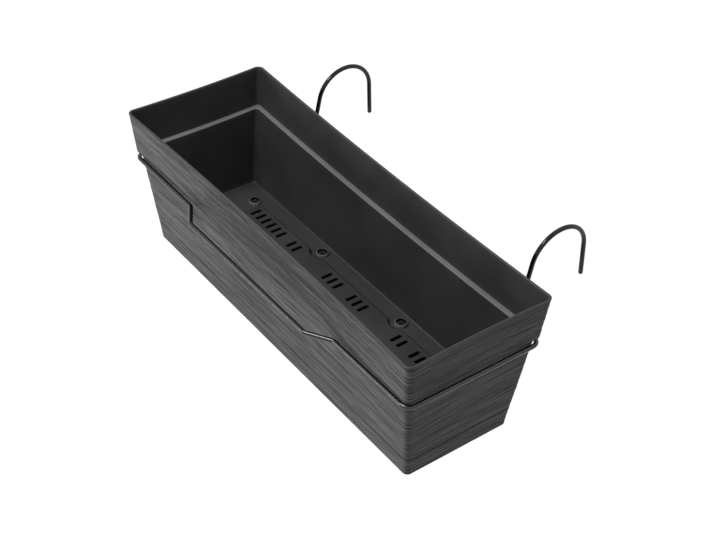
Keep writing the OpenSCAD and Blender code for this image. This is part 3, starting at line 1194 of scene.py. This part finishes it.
        # The rim, the band's inside and the hollow get the smooth inside colour, darkened as
        # painted shade.
        builder.finish = ShellFinish.INSIDE
        builder.walls([outer[-1], *rim, *band])
        builder.walls([ledge[-1], *hollow])
        self.floor(builder, hollow[-1], outer[0], recess)
        piece = builder.build("grained_planter_shell")
        dress(piece, finishes, Body.PLANTER, Slot.PLANTER, "planter_shell")
        return piece


@dataclass
class DripTray:
    """Clip-on tray with the split pegs that hold it."""

    grain: WoodGrain = field(default_factory=lambda: WoodGrain(depth=0.65 * MM))
    outline: Outline = field(default_factory=Outline)
    pegs: PegPlan = field(default_factory=PegPlan)
    height: float = 22.9 * MM
    inset: float = 0.1 * MM
    wall: float = 2.2 * MM
    floor: float = 2.2 * MM
    level: float = 0.8 * MM
    foot_round: float = 1.2 * MM
    foot_steps: int = 4
    lip_round: float = 0.5 * MM
    lip_steps: int = 2
    inner_fillet: float = 1.2 * MM
    fillet_steps: int = 4
    fillet_edge: float = 0.3 * MM
    post_radius: float = 7 * MM
    shoulder_z: float = 22.2 * MM
    shank_radius: float = 3.8 * MM
    head_radius: float = 4.9 * MM
    bore_radius: float = 2.3 * MM
    head_height: float = 2.6 * MM
    top_z: float = 25.8 * MM
    slit: float = 1.4 * MM
    prong_steps: int = 10
    foot_margin: float = 1 * MM
    post_foot_mm: tuple[tuple[float, float], ...] = ((0.6, 0), (0.5, 0), (0.15, 0.15), (0, 0.5))
    post_bevel: float = 0.4 * MM
    neck_rise: float = 0.6 * MM
    prong_rise: float = 0.3 * MM
    prong_bevel: float = 0.2 * MM
    cone_edge: float = 0.3 * MM
    tip_bevel: float = 0.25 * MM

    def level_at(self, z: float, inset: float) -> np.ndarray:
        """Gives an outline of the tray.

        Args:
            z: its height.
            inset: how far it is drawn in.

        Returns:
            The outline, as rows of x, y, z.
        """
        rows = self.outline.points(LAYOUT.body_half(z) - inset, LAYOUT.radius(z) - inset,
                                   LAYOUT.bow(0))
        return np.column_stack([rows, np.full(len(rows), z)])

    def outer_levels(self) -> list[np.ndarray]:
        """Gives the outlines from the foot to the top of the lip.

        Returns:
            The outlines, as rows of x, y, z.
        """
        rows = [self.level_at(0, self.inset + self.foot_round + self.foot_margin)]
        rows.extend(self.level_at(rise, self.inset + inset)
                    for rise, inset in rounding(self.foot_round, 0, 90, self.foot_steps))
        side = [(self.inset, z) for z in np.arange(self.foot_round + self.level,
                                                   self.height - self.lip_round, self.level)]
        lip = [(self.inset + inset, self.height - drop)
               for inset, drop in rounding(self.lip_round, 0, 90, self.lip_steps)]
        rows.extend(self.grain.carve(self.level_at(z, inset)) for inset, z in side + lip)
        return rows

    def inner_levels(self) -> list[np.ndarray]:
        """Gives the outlines from the top of the lip to the tray's floor.

        Returns:
            The outlines, as rows of x, y, z.
        """
        inner = self.inset + self.wall
        rows = [self.level_at(self.height - drop, inner - grow)
                for grow, drop in rounding(self.lip_round, 90, 0, self.lip_steps)]
        rows.extend(self.level_at(self.floor + rise, inner + inset)
                    for inset, rise in rounding(self.inner_fillet, 0, 90, self.fillet_steps))
        rows.append(self.level_at(self.floor, inner + self.inner_fillet + self.fillet_edge))
        return rows

    def post(self, builder: MeshBuilder, place: np.ndarray) -> np.ndarray:
        """Adds one post with its shoulder.

        Args:
            builder: the mesh so far.
            place: the post's middle.

        Returns:
            Its ring on the tray's floor.
        """
        neck = self.shoulder_z + self.neck_rise
        profile = [(self.post_radius + out * MM, self.floor + up * MM)
                   for out, up in self.post_foot_mm]
        profile += [(self.post_radius, self.shoulder_z - self.post_bevel),
                    (self.post_radius - self.post_bevel, self.shoulder_z),
                    (self.shank_radius, self.shoulder_z), (self.shank_radius, neck),
                    (self.bore_radius, neck), (self.bore_radius, self.floor + self.neck_rise)]
        rings = [builder.ring(circle(place, r), z) for r, z in profile]
        builder.walls(rings)
        builder.fan(rings[-1])
        return rings[0]

    def prong(self, builder: MeshBuilder, place: np.ndarray, quarter: int) -> None:
        """Adds one of the four springy prongs of a peg.

        Args:
            builder: the mesh so far.
            place: the peg's middle.
            quarter: which prong, from 0 to 3.
        """
        foot_z, head_z = self.shoulder_z + self.prong_rise, self.top_z - self.head_height
        cone_z, bevel = head_z + self.head_height / 3, self.prong_bevel
        profile = [(self.bore_radius, foot_z), (self.shank_radius, foot_z),
                   (self.shank_radius, head_z),
                   (self.head_radius - bevel, cone_z - self.cone_edge),
                   (self.head_radius, cone_z),
                   (self.head_radius - bevel / 2, cone_z + self.cone_edge),
                   (self.shank_radius + self.tip_bevel, self.top_z - self.tip_bevel),
                   (self.shank_radius - bevel / 2, self.top_z),
                   (self.bore_radius + bevel, self.top_z),
                   (self.bore_radius, self.top_z - bevel)]
        sections = []
        for share in np.linspace(0, 1, self.prong_steps + 1):
            rows = []
            for r, z in profile:
                edge = math.asin(self.slit / 2 / r)
                a = math.pi / 2 * quarter + edge + (math.pi / 2 - 2 * edge) * share
                rows.append((place[0] + r * math.cos(a), place[1] + r * math.sin(a), z))
            sections.append(builder.ring(np.array(rows)))
        builder.walls(sections)
        builder.fan(sections[0])
        builder.fan(sections[-1])

    def build(self, finishes: Sequence[bpy.types.Material]) -> bpy.types.Object:
        """Builds and dresses the tray with its pegs.

        Args:
            finishes: its grained material, its smooth inside one darkened as painted shade, and
                its painted shade.

        Returns:
            The tray.
        """
        builder = MeshBuilder()
        outer, inner = self.outer_levels(), self.inner_levels()
        rings = [builder.ring(rows) for rows in (*outer, *inner)]
        lip_start, lip_end = len(outer) - self.lip_steps, len(outer) + self.lip_steps
        builder.finish = TrayFinish.GRAINED
        builder.walls(rings[:lip_start + 1])
        # The top of the lip and its inner rounding, in the seam gap, get painted shade.
        builder.finish = TrayFinish.PAINTED_SHADE
        builder.walls(rings[lip_start:lip_end + 1])
        # The inside, the underside, the posts and the prongs get the smooth inside colour,
        # darkened as painted shade.
        builder.finish = TrayFinish.INSIDE
        builder.walls(rings[lip_end:])
        posts = [self.post(builder, place) for place in self.pegs.places()]
        builder.sheet(rings[0])
        builder.sheet(rings[-1], posts)
        for place in self.pegs.places():
            for quarter in range(4):
                self.prong(builder, place, quarter)
        piece = builder.build("grained_drip_tray")
        dress(piece, finishes, Body.TRAY, Slot.TRAY, "drip_tray")
        return piece


@dataclass
class DrainageGrid:
    """Raised slotted panel, notched round the collars, with its skirt."""

    pegs: PegPlan = field(default_factory=PegPlan)
    half_x: float = 180.2 * MM
    half_y: float = 42.6 * MM
    low: float = 25.0 * MM
    top: float = 29.6 * MM
    plate: float = 2 * MM
    corner: float = 4 * MM
    notch: float = 14 * MM
    edge_round: float = 0.5 * MM
    edge_steps: int = 3
    slot_length: float = 13.5 * MM
    slot_width: float = 3.5 * MM
    slot_pitch: float = 10.25 * MM
    slot_row: float = 29.3 * MM
    slot_round: float = 0.9 * MM
    slot_steps: int = 4
    slot_bevel: float = 0.4 * MM
    slot_crest: float = 0.1 * MM
    # Widths of the painted shade bands round the top of each slot and round the top's edge.
    slot_shade_band: float = 0.35 * MM
    rim_shade_band: float = 0.7 * MM
    first_middle: float = 12.4 * MM
    middle_count: int = 3
    first_outer: float = 91 * MM
    rib_slot: int = 2
    outer_count: int = 9
    arc_steps: int = 14
    end_steps: int = 4
    long_steps: int = 11
    middle_steps: int = 7

    def slot_places(self) -> list[np.ndarray]:
        """Gives the middle of each slot.

        Returns:
            Pairs of x and y.
        """
        middle = [self.first_middle + i * self.slot_pitch for i in range(self.middle_count)]
        outer = [self.first_outer + i * self.slot_pitch
                 for i in range(self.outer_count) if i != self.rib_slot]
        return [np.array([sx * x, sy * self.slot_row])
                for x in middle + outer for sx in (-1, 1) for sy in (-1, 1)]

    def slot_loop(self, place: np.ndarray, grow: float) -> np.ndarray:
        """Gives the outline of one slot.

        Args:
            place: the slot's middle.
            grow: how far the outline is grown all round.

        Returns:
            Rows of x and y.
        """
        radius = self.slot_round + grow
        half = np.array([self.slot_width, self.slot_length]) / 2 + grow - radius
        rows = []
        for quarter in range(4):
            middle = place + quarter_sign(quarter) * half
            rows.append(middle + quarter_arc(quarter, self.slot_steps) * radius)
        return np.vstack(rows)

    def quarter_plan(self, inset: float) -> np.ndarray:
        """Gives the outline's quarter with x and y above 0, from the end to the long side.

        Args:
            inset: how far the outline is drawn in.

        Returns:
            Rows of x and y.
        """
        hx, hy = self.half_x - inset, self.half_y - inset
        turn = self.corner - inset
        corner = np.array([self.half_x, self.half_y]) - self.corner
        peg = np.array([self.pegs.middle_x, self.pegs.middle_y])
        drop = peg[1] - corner[1]
        span = math.sqrt((self.notch + self.corner) ** 2 - drop ** 2)
        lean = math.asin(drop / (self.notch + self.corner))
        up = math.pi / 2
        arcs = [(corner, turn, 0, up),
                (np.array([peg[0] + span, corner[1]]), turn, up, math.pi - lean),
                (peg, self.notch + inset, -lean, lean - math.pi),
                (np.array([peg[0] - span, corner[1]]), turn, lean, up)]
        rows = [np.column_stack([np.full(self.end_steps, hx),
                                 np.linspace(0, corner[1], self.end_steps + 1)[:-1]])]
        for middle, radius, start, end in arcs:
            angles = np.linspace(start, end, self.arc_steps)
            rows.append(middle + radius * directions(angles))
            if middle is corner:
                run = np.linspace(corner[0], peg[0] + span, self.long_steps + 1)[1:-1]
                rows.append(np.column_stack([run, np.full(len(run), hy)]))
        run = np.linspace(peg[0] - span, 0, self.middle_steps + 1)[1:]
        rows.append(np.column_stack([run, np.full(len(run), hy)]))
        return np.vstack(rows)

    def plan(self, inset: float) -> np.ndarray:
        """Gives the whole outline, counterclockwise.

        Args:
            inset: how far the outline is drawn in.

        Returns:
            Rows of x and y.
        """
        quarter = self.quarter_plan(inset)
        back = quarter[::-1]
        return np.vstack([quarter[:-1], back[:-1] * (-1, 1),
                          quarter[:-1] * (-1, -1), back[:-1] * (1, -1)])

    def build(self, face: bpy.types.Material, side: bpy.types.Material) -> bpy.types.Object:
        """Builds and dresses the grid.

        Args:
            face: the material of its top.
            side: the painted shade of its sides, its underside, the narrow bands round its top
                and its slots.

        Returns:
            The grid.
        """
        builder = MeshBuilder()
        under = self.top - self.plate
        outer = [builder.ring(self.plan(inset), self.top - drop)
                 for inset, drop in rounding(self.edge_round, 0, 90, self.edge_steps)]
        rim = builder.ring(self.plan(self.edge_round + self.rim_shade_band), self.top)
        foot = builder.ring(self.plan(0), self.low)
        inner_foot = builder.ring(self.plan(self.plate), self.low)
        inner_top = builder.ring(self.plan(self.plate), under)
        # The inner and outer sides, the foot, the rounded top edge and a narrow band round the
        # top get painted shade, as do the underside below.
        builder.finish = GridFinish.PAINTED_SHADE
        builder.walls([inner_top, inner_foot, foot, *outer, rim])
        tops, bottoms = [], []
        # Each slot's walls and a narrow band round its top keep painted shade.
        profile = [(self.slot_bevel + self.slot_shade_band, self.top), (self.slot_bevel, self.top),
                   (self.slot_crest, self.top - self.slot_crest),
                   (0.0, self.top - self.slot_bevel), (0.0, under)]
        for place in self.slot_places():
            rings = [builder.ring(self.slot_loop(place, grow), z) for grow, z in profile]
            builder.walls(rings)
            tops.append(rings[0])
            bottoms.append(rings[-1])
        builder.sheet(inner_top, bottoms)
        builder.finish = GridFinish.FACE
        builder.sheet(rim, tops)
        piece = builder.build("slotted_drainage_grid")
        dress(piece, [face, side], Body.GRID, Slot.GRID, "drainage_grid")
        return piece


@dataclass(frozen=True)
class Station:
    """One ring of a wire: its middle, the way the wire runs, its first side and radius."""

    place: Vector
    way: Vector
    side: Vector
    radius: float = LAYOUT.wire / 2

    def moved(self, out: float, share: float = 1.0) -> "Station":
        """Gives a ring further out along the wire, with a share of this one's radius."""
        return Station(self.place + self.way * out, self.way, self.side, self.radius * share)

    def rows(self, sides: int) -> np.ndarray:
        """Samples the ring.

        Args:
            sides: number of points.

        Returns:
            Rows of x, y, z.
        """
        other = self.way.cross(self.side)
        turns = np.linspace(0, 2 * math.pi, sides, endpoint=False)
        return np.array([list(self.place + self.radius * (self.side * math.cos(a)
                                                          + other * math.sin(a)))
                         for a in turns])


@dataclass
class WirePath:
    """A wire bent along a path, as rings of points round its middle line."""

    path: list[tuple[float, float, float]]
    bends: list[tuple[float, int]]
    side: tuple[float, float, float] = (0, 0, 1)
    closed: bool = False
    sides: int = 28
    run_length: float = 12 * MM
    least_gap: float = 0.02 * MM
    tip_share: float = 0.8
    tip_turns: tuple[int, ...] = (20, 40, 60, 80)

    def stations(self) -> list[Station]:
        """Gives the rings along the wire, from its start to its end.

        Returns:
            The rings in order.
        """
        points = [Vector(p) for p in self.path]
        side = Vector(self.side)
        way = (points[1] - points[0]).normalized()
        made = [Station(points[0], way, side)]
        for i, (bend, steps) in enumerate(self.bends, start=1):
            after = (points[i + 1] - points[i]).normalized()
            axis = way.cross(after).normalized()
            angle = way.angle(after)
            inward = axis.cross(way)
            centre = points[i] - way * bend * math.tan(angle / 2) + inward * bend
            for k in range(steps + 1):
                turn = Matrix.Rotation(angle * k / steps, 3, axis)
                self.run_to(made, Station(centre - turn @ inward * bend, turn @ way, turn @ side))
            way, side = after, made[-1].side
        self.run_to(made, Station(points[-1], way, side))
        return made

    def run_to(self, made: list[Station], station: Station) -> None:
        """Adds a station, with more before it along a straight run.

        Args:
            made: the stations so far.
            station: the next one.
        """
        start, end = made[-1].place, station.place
        gap = (end - start).length
        if gap < self.least_gap:
            return
        count = int(gap / self.run_length)
        for k in range(1, count + 1):
            made.append(Station(start.lerp(end, k / (count + 1)), station.way, station.side))
        made.append(station)

    def tipped(self, made: list[Station]) -> list[Station]:
        """Rounds the open ends of the wire.

        Args:
            made: the rings along it.

        Returns:
            The rings, with those of the two tips.
        """
        reach = LAYOUT.wire / 2 * self.tip_share
        turns = [math.radians(turn) for turn in self.tip_turns]
        head = [made[0].moved(reach * (1 - math.sin(a)), math.cos(a)) for a in reversed(turns)]
        tail = [made[-1].moved(reach * math.sin(a), math.cos(a)) for a in turns]
        return head + [made[0].moved(reach)] + made[1:] + tail

    def add_to(self, builder: MeshBuilder) -> None:
        """Adds the wire's skin to a mesh.

        Args:
            builder: the mesh so far.
        """
        made = self.stations()
        made = made[:-1] if self.closed else self.tipped(made)
        rings = [builder.ring(station.rows(self.sides)) for station in made]
        builder.walls(rings, self.closed)
        if not self.closed:
            builder.fan(rings[0])
            builder.fan(rings[-1])


@dataclass
class WireHolder:
    """Bent wire loop, its rail hooks, and the welds that join them."""

    loop_half_x: float = 244.87 * MM
    loop_half_y: float = 81.42 * MM
    loop_radius: float = 9.8 * MM
    grip_half: float = 104 * MM
    slant_half: float = 130 * MM
    grip_out: float = 16.3 * MM
    bend: float = 8 * MM
    corner_steps: int = 12
    bend_steps: int = 8
    crown_steps: int = 24
    hook_x: float = 181.2 * MM
    hook_radius: float = 35.5 * MM
    hook_y: float = LAYOUT.saddle_y
    crown_z: float = LAYOUT.saddle_z + LAYOUT.wire / 2
    splay: float = math.radians(3.5)
    lean: float = math.radians(11)
    tip_length: float = 39 * MM
    lap_length: float = 44 * MM
    lap_gap: float = 0.1 * MM
    bead_length: float = 7 * MM
    bead_thickness: float = 0.7 * MM
    bead_half_y: float = 2.0 * MM
    bead_half_z: float = 1.1 * MM
    bead_lift: float = 1.3 * MM
    bead_end: float = 0.97
    bead_steps: int = 24
    bead_sides: int = 24
    bead_power: float = 2.6
    bead_ripples: int = 5
    ripple_shift: float = 0.1
    ripple_share: float = 0.06
    dent_size: float = 1.5 * MM
    first_seed: int = 40

    @property
    def lap_y(self) -> float:
        """Distance of a hook's foot from the middle line."""
        return self.loop_half_y + LAYOUT.wire + self.lap_gap

    def build_loop(self, material: bpy.types.Material) -> bpy.types.Object:
        """Builds and dresses the loop.

        Args:
            material: its material.

        Returns:
            The loop.
        """
        x, y, z = self.loop_half_x, self.loop_half_y, LAYOUT.loop_z
        slant, grip, out = self.slant_half, self.grip_half, -y - self.grip_out
        corner = (self.loop_radius, self.corner_steps)
        bend = (self.bend, self.bend_steps)
        wire = WirePath(
            [(0, y, z), (-x, y, z), (-x, -y, z), (-slant, -y, z), (-grip, out, z),
             (grip, out, z), (slant, -y, z), (x, -y, z), (x, y, z), (0, y, z)],
            [corner, corner, bend, bend, bend, bend, corner, corner], closed=True)
        builder = MeshBuilder()
        wire.add_to(builder)
        piece = builder.build("coated_wire_loop")
        dress(piece, [material], Body.HOLDER, Slot.WIRE, "support_loop")
        return piece

    def build_hook(self, side: int, node: str, material: bpy.types.Material) -> bpy.types.Object:
        """Builds and dresses one hook.

        Args:
            side: 1 for the hook towards +X, -1 for the other.
            node: the node that it stands for.
            material: its material.

        Returns:
            The hook.
        """
        x, z, radius = side * self.hook_x, LAYOUT.loop_z, self.hook_radius
        near_y = self.hook_y - radius * math.tan((math.pi / 2 - self.lean) / 2)
        foot_y = near_y - (self.crown_z - z) * math.tan(self.lean)
        turn = radius * math.tan((math.pi / 2 - self.splay) / 2)
        far_y = self.hook_y + turn
        reach = self.tip_length + turn
        foot_x = side * (self.hook_x - self.lap_length)
        tip = (x, far_y + reach * math.sin(self.splay),
               self.crown_z - reach * math.cos(self.splay))
        bend, crown = (self.bend, self.bend_steps), (radius, self.crown_steps)
        wire = WirePath([(foot_x, self.lap_y, z), (x, self.lap_y, z), (x, foot_y, z),
                         (x, near_y, self.crown_z), (x, far_y, self.crown_z), tip],
                        [bend, bend, crown, crown])
        builder = MeshBuilder()
        wire.add_to(builder)
        piece = builder.build("coated_" + node)
        dress(piece, [material], Body.HOLDER, Slot.WIRE, node)
        return piece

    def bead(self, builder: MeshBuilder, place: Sequence[float], half: Sequence[float],
             seed: int) -> None:
        """Adds one weld bead, a long lump with overlapping ripples.

        Args:
            builder: the mesh so far.
            place: its middle.
            half: its half sizes along x, y and z.
            seed: seed of its unevenness.
        """
        noise = ValueNoise(seed)
        plan = circle((0, 0), 1.0, self.bead_sides)
        rings = []
        for t in np.linspace(-self.bead_end, self.bead_end, self.bead_steps + 1):
            girth = math.sqrt(1 - abs(t) ** self.bead_power)
            wave = abs(math.sin(self.bead_ripples * math.pi * (t + self.ripple_shift)))
            rows = np.column_stack([np.full(self.bead_sides, t * half[0]),
                                    plan[:, 0] * half[1], plan[:, 1] * half[2]])
            rows[:, 1:] *= girth * (1 - self.ripple_share * (1 - wave))
            dents = np.abs(noise.at(rows, [self.dent_size] * 3))
            rows[:, 1:] *= 1 - self.ripple_share * dents[:, None]
            rings.append(builder.ring(rows + np.asarray(place)))
        builder.walls(rings)
        builder.fan(rings[0])
        builder.fan(rings[-1])

    def build_welds(self, material: bpy.types.Material) -> bpy.types.Object:
        """Builds and dresses the welds: beads above and below each lap, and one round the loop.

        Args:
            material: their material.

        Returns:
            The beads, in one piece.
        """
        builder = MeshBuilder()
        half = self.bead_length / 2
        groove_y = (self.loop_half_y + self.lap_y) / 2
        inner = self.hook_x - self.lap_length + self.bead_length
        outer = self.hook_x - self.bend - self.bead_length
        seed = self.first_seed
        for x in (inner, outer):
            for side in (-1, 1):
                for up in (-1, 1):
                    place = (side * x, groove_y, LAYOUT.loop_z + up * self.bead_lift)
                    self.bead(builder, place, (half, self.bead_half_y, self.bead_half_z), seed)
                    seed += 1
        thick = LAYOUT.wire / 2 + self.bead_thickness
        self.bead(builder, (0, self.loop_half_y, LAYOUT.loop_z), (half, thick, thick), seed)
        piece = builder.build("coated_weld_beads")
        dress(piece, [material], Body.HOLDER, Slot.WELD, "weld_beads")
        return piece


@dataclass
class PhotoCamera:
    """Camera at the photograph's place, found by fitting the object's edges."""

    azimuth: float = math.radians(51.95)
    elevation: float = math.radians(39.2)
    roll: float = math.radians(2.38)
    distance: float = 1544.1 * MM
    target: tuple[float, float, float] = (30.9 * MM, 22.3 * MM, 84.2 * MM)
    focal_px: float = 1478.71
    image_width_px: int = 716
    sensor: float = 36.0
    reach: float = 20.0

    def build(self) -> None:
        """Builds the camera and makes it the scene's."""
        a, e = self.azimuth, self.elevation
        back = Vector((math.sin(a) * math.cos(e), -math.cos(a) * math.cos(e), math.sin(e)))
        right = Vector((math.cos(a), math.sin(a), 0))
        up = back.cross(right)
        c, s = math.cos(self.roll), math.sin(self.roll)
        axes = Matrix((right * c + up * s, up * c - right * s, back)).transposed()
        place = Vector(LAYOUT.placed(np.array(self.target))) + back * self.distance
        data = bpy.data.cameras.new("photo_camera")
        data.sensor_width = self.sensor
        data.lens = self.focal_px / self.image_width_px * self.sensor
        data.clip_end = self.reach
        camera = bpy.data.objects.new("photo_camera", data)
        camera.matrix_world = Matrix.Translation(place) @ axes.to_4x4()
        bpy.context.scene.collection.objects.link(camera)
        bpy.context.scene.camera = camera


@dataclass(frozen=True)
class Lamp:
    """One soft lamp: where it stands, what it faces, its size and its power."""

    name: str
    place: tuple[float, float, float]
    aim: tuple[float, float, float]
    size: tuple[float, float]
    watts: float

    def build(self) -> None:
        """Builds the lamp."""
        data = bpy.data.lights.new(self.name, "AREA")
        data.shape = "RECTANGLE"
        data.size, data.size_y = self.size
        data.energy = self.watts
        lamp = bpy.data.objects.new(self.name, data)
        lamp.location = self.place
        way = Vector(self.aim) - Vector(self.place)
        lamp.rotation_euler = way.to_track_quat("-Z", "Y").to_euler()
        bpy.context.scene.collection.objects.link(lamp)


@dataclass
class Studio:
    """White floor and plain soft light."""

    floor_drop: float = 0.30
    floor_half: float = 6.0
    floor_tone: float = 0.32
    floor_white: float = 1.22
    shadow_share: float = 0.18
    world_strength: float = 0.225
    lamps: tuple[Lamp, ...] = (
        Lamp("soft_overhead", place=(-0.2, -0.95, 1.45), aim=(-0.1, -0.16, -0.1),
             size=(0.8, 0.4), watts=24),
        Lamp("strip_overhead_right", place=(0.4, 0.75, 1.5), aim=(0.1, 0.75, 0.0),
             size=(1.2, 0.10), watts=2.5),
        Lamp("soft_front_low", place=(-2.2, -4.0, 0.4), aim=(0, -0.16, -0.1),
             size=(1.6, 1.0), watts=58),
    )

    def white_for_camera(self, tree: bpy.types.NodeTree, shader: bpy.types.NodeSocket,
                         white: bpy.types.NodeSocket, share: float) -> bpy.types.NodeSocket:
        """Mixes a shader with plain white for rays that see it directly.

        Args:
            tree: the nodes' tree.
            shader: the shader that lights the scene.
            white: the white that the camera and reflections see.
            share: how much of the white they see.

        Returns:
            The mixed shader.
        """
        rays = tree.nodes.new("ShaderNodeLightPath")
        seen = rays.outputs["Is Camera Ray"]
        for name in ("Is Glossy Ray", "Is Transmission Ray"):
            most = tree.nodes.new("ShaderNodeMath")
            most.operation = "MAXIMUM"
            tree.links.new(seen, most.inputs[0])
            tree.links.new(rays.outputs[name], most.inputs[1])
            seen = most.outputs[0]
        scaled = tree.nodes.new("ShaderNodeMath")
        scaled.operation = "MULTIPLY"
        scaled.inputs[1].default_value = share
        tree.links.new(seen, scaled.inputs[0])
        mix = tree.nodes.new("ShaderNodeMixShader")
        tree.links.new(scaled.outputs[0], mix.inputs["Fac"])
        tree.links.new(shader, mix.inputs[1])
        tree.links.new(white, mix.inputs[2])
        return mix.outputs[0]

    def build_floor(self) -> None:
        """Builds the floor."""
        z = -LAYOUT.saddle_z - self.floor_drop
        h = self.floor_half
        mesh = bpy.data.meshes.new("studio_floor")
        mesh.from_pydata([(-h, -h, z), (h, -h, z), (h, h, z), (-h, h, z)], [], [(0, 1, 2, 3)])
        floor = bpy.data.objects.new("studio_floor", mesh)
        bpy.context.scene.collection.objects.link(floor)
        graph = NodeGraph("white_floor")
        tree = graph.tree
        output = tree.nodes["Material Output"]
        tree.nodes.remove(graph.shader)
        tone = (self.floor_tone,) * 3 + (1,)
        diffuse = graph.node("ShaderNodeBsdfDiffuse", Color=tone)
        white = graph.node("ShaderNodeEmission", Color=WHITE, Strength=self.floor_white)
        mixed = self.white_for_camera(tree, diffuse.outputs[0], white.outputs[0],
                                      1 - self.shadow_share)
        graph.link(mixed, output.inputs["Surface"])
        mesh.materials.append(graph.material)

    def build_world(self) -> None:
        """Builds the world's even light, with a white background."""
        world = bpy.data.worlds.new("studio_world")
        world.use_nodes = True
        tree = world.node_tree
        plain = tree.nodes["Background"]
        plain.inputs["Color"].default_value = WHITE
        plain.inputs["Strength"].default_value = self.world_strength
        white = tree.nodes.new("ShaderNodeBackground")
        white.inputs["Color"].default_value = WHITE
        white.inputs["Strength"].default_value = 1.0
        mixed = self.white_for_camera(tree, plain.outputs[0], white.outputs[0], 1.0)
        tree.links.new(mixed, tree.nodes["World Output"].inputs["Surface"])
        bpy.context.scene.world = world

    def build(self) -> None:
        """Builds the floor, the world and the lamps."""
        self.build_floor()
        self.build_world()
        for lamp in self.lamps:
            lamp.build()
        bpy.context.scene.view_settings.view_transform = "Standard"


def report(piece: bpy.types.Object) -> None:
    """Logs a piece's name and face count."""
    LOG.info("%s: %d faces", piece.name, len(piece.data.polygons))


def main() -> None:
    """Builds the camera, the studio and every piece of the planter, in order."""
    logging.basicConfig(level=logging.INFO, format="%(name)s: %(message)s")
    PhotoCamera().build()
    Studio().build()
    made = Palette().materials()
    holder = WireHolder()
    makers: list[Callable[[], bpy.types.Object]] = [
        lambda: PlanterShell().build(
            [made[name] for name in ("grained", "inside", "edge", "shade")],
            DrainageGrid().plan),
        lambda: DripTray().build([made[name] for name in ("tray", "inside", "shade")]),
        lambda: DrainageGrid().build(made["grid"], made["shade"]),
        lambda: holder.build_loop(made["wire"]),
        lambda: holder.build_hook(-1, "hook_left", made["hooks"]),
        lambda: holder.build_hook(1, "hook_right", made["hooks"]),
        lambda: holder.build_welds(made["weld"]),
    ]
    for make in makers:
        report(make())


if __name__ == "__main__":
    main()
